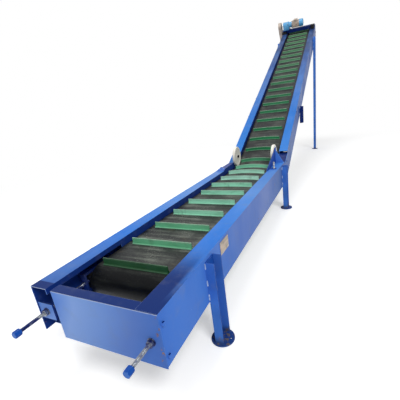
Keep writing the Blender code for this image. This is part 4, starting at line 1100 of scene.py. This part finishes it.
def bead_repeat():
    """Overlapping drops along short runs, each a little different, as a hand-laid weld."""
    tree = Repeat("weld_bead", Pitch="Float", Seed="Int")
    even = tree.node("GeometryNodeResampleCurve", {"mode": "LENGTH"}, Curve=tree.start["Geometry"])
    tree.feed(even.inputs["Length"], tree.start["Pitch"])
    size = tree.node("FunctionNodeRandomValue", {"data_type": "FLOAT_VECTOR"}, Seed=tree.start["Seed"])
    tree.feed(size.inputs["Min"], (0.80, 0.80, 0.80))
    tree.feed(size.inputs["Max"], (1.15, 1.15, 1.15))
    return tree.spread(even.outputs[0], Scale=size.outputs[0])


def point_repeat():
    """Copies on the points of a helper mesh."""
    tree = Repeat("on_points")
    return tree.spread(tree.start["Geometry"])


def make_belt():
    piece("belt_band", belt_band(), FINISHES["belt_rubber"], "frame", ("belt",))
    lengths = path_lengths()
    first = next(i for i, length in enumerate(lengths) if length > CLEAT_START)
    share = (CLEAT_START - lengths[first - 1]) / (lengths[first] - lengths[first - 1])
    (a, _), (b, _) = BELT_PATH[first - 1], BELT_PATH[first]
    start = (a[0] + share * (b[0] - a[0]), a[1] + share * (b[1] - a[1]))
    order = [start] + [p for p, _ in BELT_PATH[first:] + BELT_PATH[:first]]
    curve = closed_curve("cleat_path", [(0.0, *p) for p in order])
    mesh = path_repeat().run(curve, "cleats", cleat_mesh(), CLEAT_GREEN, Count=CLEAT_COUNT)
    lift(mesh)
    piece("cleats", smooth(mesh, 40.0), CLEAT_GREEN, "frame", ("belt",))


# ---------------------------------------------------------------- wheels
WHEEL_BORE = 0.0104
WHEEL_HUB = 0.030
WHEEL_DISH = 0.096  # radius out to which the wheel's face is turned back


def make_hold_wheels():
    for side in ("left", "right"):
        node = "hold_wheel_" + side
        centre, _, half = span(node, "X")
        radius = radius_of(node)
        outline = (
            (-half + 0.002, WHEEL_BORE),
            (-half + 0.002, WHEEL_HUB),
            (-half + 0.0045, WHEEL_HUB + 0.003),
            (-half + 0.0045, WHEEL_DISH),
            (-half, WHEEL_DISH + 0.004),
            (-half, radius - 0.004),
            (-half + 0.0012, radius - 0.0012),
            (-half + 0.004, radius),
        )
        mirror = [(-x, r) for x, r in reversed(outline)]
        mesh = turned(node, [*outline, *mirror, outline[0]], centre, 96)
        piece(node + "_tread", mesh, FINISHES["white_nylon"], node, (node,))


# ---------------------------------------------------------------- take-up screws and stud
SCREW_RADIUS = 0.009
SCREW_PITCH = 0.0025
SCREW_HEAD = 0.030  # length of the hexagon on the screw's outer end
NUT_CORNER = 0.01732
WASHER = 0.0032
WASHER_GAP = 0.0002
THREAD_PLAY = 0.0003
STUD_RADIUS = 0.008
STUD_PITCH = 0.002
STUD_PLAY = 0.0001
STUD_CORNER = 0.014
STUD_NUT = 0.0128  # height of each of the stud's nuts
OVER_SHEET = 0.0067
UNDER_SHEET = 0.0044


def make_takeups():
    for side in ("left", "right"):
        node = "takeup_screw_" + side
        centre, tip, back = span(node, "Y")
        neck = tip + SCREW_HEAD
        rod = threaded_rod(node + "_rod", neck - 0.002, back, SCREW_RADIUS, SCREW_PITCH, centre, "Y")
        piece(node + "_rod", rod, THREADED_STEEL, "takeup", (node,))
        end = hex_block(node + "_end", tip, neck, NUT_CORNER, 0.0, centre, "Y")
        piece(node + "_end", end, LEG_BLUE, "takeup", (node,))
        node = "takeup_nut_" + side
        centre, front, back = span(node, "Y")
        bore = SCREW_RADIUS + THREAD_PLAY
        nut = hex_block(node, front, back - WASHER - WASHER_GAP, NUT_CORNER, bore, centre, "Y")
        washer = ring(node + "_washer", back - WASHER, back, NUT_CORNER * 1.15, bore, centre, "Y")
        piece(node + "_hex", joined(node, (nut, washer)), THREADED_STEEL, node, (node,))


def make_stud():
    """The plated stud of the right hold-down bracket, with a nut on each side of the sheet."""
    node = "hold_stud_right"
    centre, bottom, top = span(node, "Z")
    sheet = RAIL_TOP - centre.z
    bore = STUD_RADIUS + STUD_PLAY
    parts = [threaded_rod(node, bottom, top, STUD_RADIUS, STUD_PITCH, centre, "Z")]
    for foot in (sheet + OVER_SHEET, sheet - UNDER_SHEET - STUD_NUT):
        parts.append(hex_block(node, foot, foot + STUD_NUT, STUD_CORNER, bore, centre, "Z"))
    piece(node + "_thread", joined(node, parts), FINISHES["zinc_steel"], "frame", (node,))


# ---------------------------------------------------------------- drive
DRIVE_AXIS = middle("fan_cover")
DRIVE_AXIS.x = 0.0
AT_DRIVE = Matrix.Translation(DRIVE_AXIS) @ Matrix.Rotation(SLOPE, 4, "X")
CASE_RIGHT = -0.202  # the gearbox's flank beside the motor
FLANGE_RADIUS = 0.070
MOTOR_RADIUS = 0.076
FIN_ROOT = 0.069
FIN_TIP = 0.0755
FIN_COUNT = 30
FAN_RADIUS = 0.078
SLOT_PITCH = 0.008  # between the rings of the fan cover's grille


def make_gearbox():
    """Case with a cover, two flanks and the adapter to the motor, then its bolts and oil plug."""
    blue, dark = FINISHES["drive_blue"], FINISHES["dark_steel"]
    left, right = BOXES["gearbox"][0].x, CASE_RIGHT
    outline = (
        (-0.066, -0.0896),
        (0.070, -0.0896),
        (0.070, 0.0254),
        (0.030, 0.0704),
        (-0.038, 0.0704),
        (-0.066, 0.0324),
    )
    case = prism("case", outline, (left + 0.004, right - 0.004), 0.006, AT_DRIVE)
    face = rectangle((-0.0695, -0.060), (-0.070, 0.024))
    front = prism("cover", face, (left + 0.018, right - 0.018), 0.002, AT_DRIVE)
    face = rectangle((-0.052, 0.056), (-0.074, 0.050))
    flank = prism("flank", face, (right - 0.010, right), 0.003, AT_DRIVE)
    other = prism("flank", face, (left, left + 0.010), 0.003, AT_DRIVE)
    steps = (
        (right - 0.006, 0.0),
        (right - 0.006, 0.062),
        (right + 0.010, 0.061),
        (-0.152, 0.056),
        (-0.150, FLANGE_RADIUS - 0.002),
        (-0.1485, FLANGE_RADIUS),
        (-0.1395, FLANGE_RADIUS),
        (-0.1385, FLANGE_RADIUS - 0.001),
        (-0.1385, 0.0),
    )
    adapter = turned("adapter", steps, DRIVE_AXIS)
    mesh = joined("gearbox_case", (case, front, flank, other, adapter))
    piece("gearbox_case", mesh, blue, "frame", ("gearbox",))

    spots = []
    for x in (left + 0.026, (left + right) / 2, right - 0.026):
        for h in (-0.063, 0.017):
            spots.append(AT_DRIVE @ Vector((x, -0.0675, h)))
    head = turned("bolt", ((-0.002, 0.0), (-0.002, 0.0048), (0.0, 0.0048), (0.0, 0.0)), (0, 0, 0), 6, "Y")
    head.transform(Matrix.Rotation(SLOPE, 4, "X"))
    mesh = point_repeat().run(point_helper("case_spots", spots), "case_bolts", head, dark)
    piece("case_bolts", mesh, dark, "frame", ("gearbox",))

    sides = ((-0.157, 0.0), (-0.157, 0.0050), (-0.149, 0.0050), (-0.149, 0.0))
    head = turned("bolt", sides, (0, 0.0625, 0), 6)
    mesh = round_repeat().run(point_helper("flange", []), "flange_bolts", head, dark, Count=8)
    mesh.transform(AT_DRIVE)
    piece("flange_bolts", mesh, dark, "frame", ("gearbox",))
    plug = hex_block("plug", 0.0, 0.006, 0.008, 0.0, (0, 0, 0), "Y")
    plug.transform(AT_DRIVE @ Matrix.Translation((right - 0.034, -0.0700, 0.046)))
    piece("oil_plug", plug, BRASS, "frame", ("gearbox",))


def make_motor():
    """Barrel between two end shields, with its fins, terminal box and lid."""
    beige = FINISHES["guard_beige"]
    low, high = BOXES["motor"]
    steps = (
        (low.x, 0.0),
        (low.x, MOTOR_RADIUS - 0.002),
        (low.x + 0.002, MOTOR_RADIUS),
        (low.x + 0.013, MOTOR_RADIUS),
        (low.x + 0.014, FIN_ROOT),
        (high.x - 0.011, FIN_ROOT),
        (high.x - 0.010, FIN_TIP),
        (high.x, FIN_TIP),
        (high.x, 0.0),
    )
    barrel = turned("barrel", steps, DRIVE_AXIS)
    face = rectangle((-0.043, 0.043), (0.055, 0.088))
    body = prism("terminal", face, (low.x + 0.047, low.x + 0.128), 0.004, AT_DRIVE)
    face = rectangle((-0.045, 0.045), (0.0885, 0.0975))
    lid = prism("lid", face, (low.x + 0.045, low.x + 0.130), 0.003, AT_DRIVE)
    face = rectangle((FIN_ROOT - 0.003, FIN_TIP), (-0.0014, 0.0014))
    fin = prism("fin", face, (low.x + 0.012, high.x - 0.009), 0.0005, Matrix.Identity(4))
    fins = round_repeat().run(point_helper("fins", []), "fins", fin, beige, Count=FIN_COUNT)
    fins.transform(AT_DRIVE)
    mesh = joined("motor_barrel", (barrel, body, lid, fins))
    piece("motor_barrel", mesh, beige, "frame", ("motor",))


def make_fan_cover():
    """Rounded cap with ring slots in its end."""
    low, high = BOXES["fan_cover"]
    steps = [(low.x, 0.0), (low.x, FAN_RADIUS - 0.0015), (low.x + 0.0015, FAN_RADIUS)]
    steps.append((high.x - 0.016, FAN_RADIUS - 0.0015))
    for k in range(7):
        angle = math.pi / 2 * k / 6
        steps.append((high.x - 0.014 + 0.014 * math.sin(angle), 0.062 + 0.014 * math.cos(angle)))
    radius = 0.058
    while radius > 0.014:
        steps.extend(((high.x, radius), (high.x - 0.004, radius - 0.0005)))
        steps.extend(((high.x - 0.004, radius - 0.0035), (high.x, radius - 0.004)))
        radius -= SLOT_PITCH
    steps.append((high.x, 0.0))
    cover = turned("fan_cover", steps, DRIVE_AXIS)
    piece("fan_cover_grille", cover, FINISHES["drive_blue"], "frame", ("fan_cover",))


# ---------------------------------------------------------------- rubber at the head
STRIP_ALONG = (4.400, 5.270)  # along the rising rails, from the knee
STRIP_DEPTH = (-0.082, -0.024)  # square to the rails, from their top
STRIP_THICKNESS = 0.0024
RAIL_INSIDE = 0.2593
FLAP_ALONG = (5.112, 5.115)
FLAP_DEPTH = (-0.044, -0.0005)


def make_edge_strips():
    """Black rubber strips inside the rails at the head, which keep spillage off the drum."""
    rail = Matrix.Translation((0, FEED_Y + FEED_LENGTH, RAIL_TOP)) @ Matrix.Rotation(SLOPE, 4, "X")
    strips = []
    for side in (-1, 1):
        across = sorted((side * RAIL_INSIDE, side * (RAIL_INSIDE - STRIP_THICKNESS)))
        strips.append(prism("edge_strip", rectangle(STRIP_ALONG, STRIP_DEPTH), across, 0.0005, rail))
        across = sorted((side * RAIL_INSIDE, side * (CLEAT_WIDTH / 2 + 0.004)))
        strips.append(prism("corner_flap", rectangle(FLAP_ALONG, FLAP_DEPTH), across, 0.0005, rail))
    piece("edge_strips", joined("edge_strips", strips), RUBBER_BLACK, "frame")


# ---------------------------------------------------------------- welds and rivets
WELD_LENGTH = 0.026
WELD_DROP = 0.0042
WELD_PITCH = 0.0032
WELD_SEED = 7
LEG_WELDS = (0.050, (0.006, 0.105, 0.190))  # half the post's width, and each weld's depth on it
SOCKET_WELDS = (0.040, (0.006, 0.105))
WELDED = {"leg_feed": LEG_WELDS, "leg_knee": LEG_WELDS, "leg_head": LEG_WELDS, "socket": SOCKET_WELDS}
RIVET_RADIUS = 0.0032
RIVET_INSET = 0.008


def drop(name, radius, flat=1.0):
    """A small rounded blob."""
    bm = bmesh.new()
    bmesh.ops.create_icosphere(bm, subdivisions=2, radius=radius)
    for vertex in bm.verts:
        vertex.co.x *= flat
    mesh = mesh_from(bm, name)
    mesh.shade_smooth()
    return mesh


def make_welds():
    """Stitch welds down both edges of each support, where it lies on the web."""
    data = bpy.data.curves.new("welds", "CURVE")
    data.dimensions = "3D"
    for kind, (half, depths) in WELDED.items():
        for side, name in ((1, "right"), (-1, "left")):
            low, high = BOXES[kind + "_" + name]
            x = side * (HALF_WIDTH + 0.0016)
            for edge in (-1, 1):
                y = (low.y + high.y) / 2 + edge * (half + 0.0012)
                for down in depths:
                    spline = data.splines.new("POLY")
                    spline.points.add(1)
                    spline.points[0].co = (x, y, high.z - down, 1.0)
                    spline.points[1].co = (x, y, high.z - down - WELD_LENGTH, 1.0)
    blob = drop("weld_drop", WELD_DROP)
    values = {"Pitch": WELD_PITCH, "Seed": WELD_SEED}
    mesh = bead_repeat().run(helper("welds", data), "weld_beads", blob, WELD_METAL, **values)
    piece("weld_beads", mesh, WELD_METAL, "frame")


def make_rivets():
    low, high = BOXES["nameplate"]
    spots = []
    for y in (low.y + RIVET_INSET, high.y - RIVET_INSET):
        for z in (low.z + RIVET_INSET, high.z - RIVET_INSET):
            spots.append((high.x, y, z))
    dome, metal = drop("rivet", RIVET_RADIUS, 0.45), FINISHES["zinc_steel"]
    mesh = point_repeat().run(point_helper("rivets", spots), "plate_rivets", dome, metal)
    piece("plate_rivets", mesh, metal, "frame")


dress_frame()
set_camera()
set_light()
set_floor()
make_belt()
make_hold_wheels()
make_takeups()
make_stud()
make_gearbox()
make_motor()
make_fan_cover()
make_edge_strips()
make_welds()
make_rivets()

bpy.context.scene.view_settings.view_transform = "Standard"
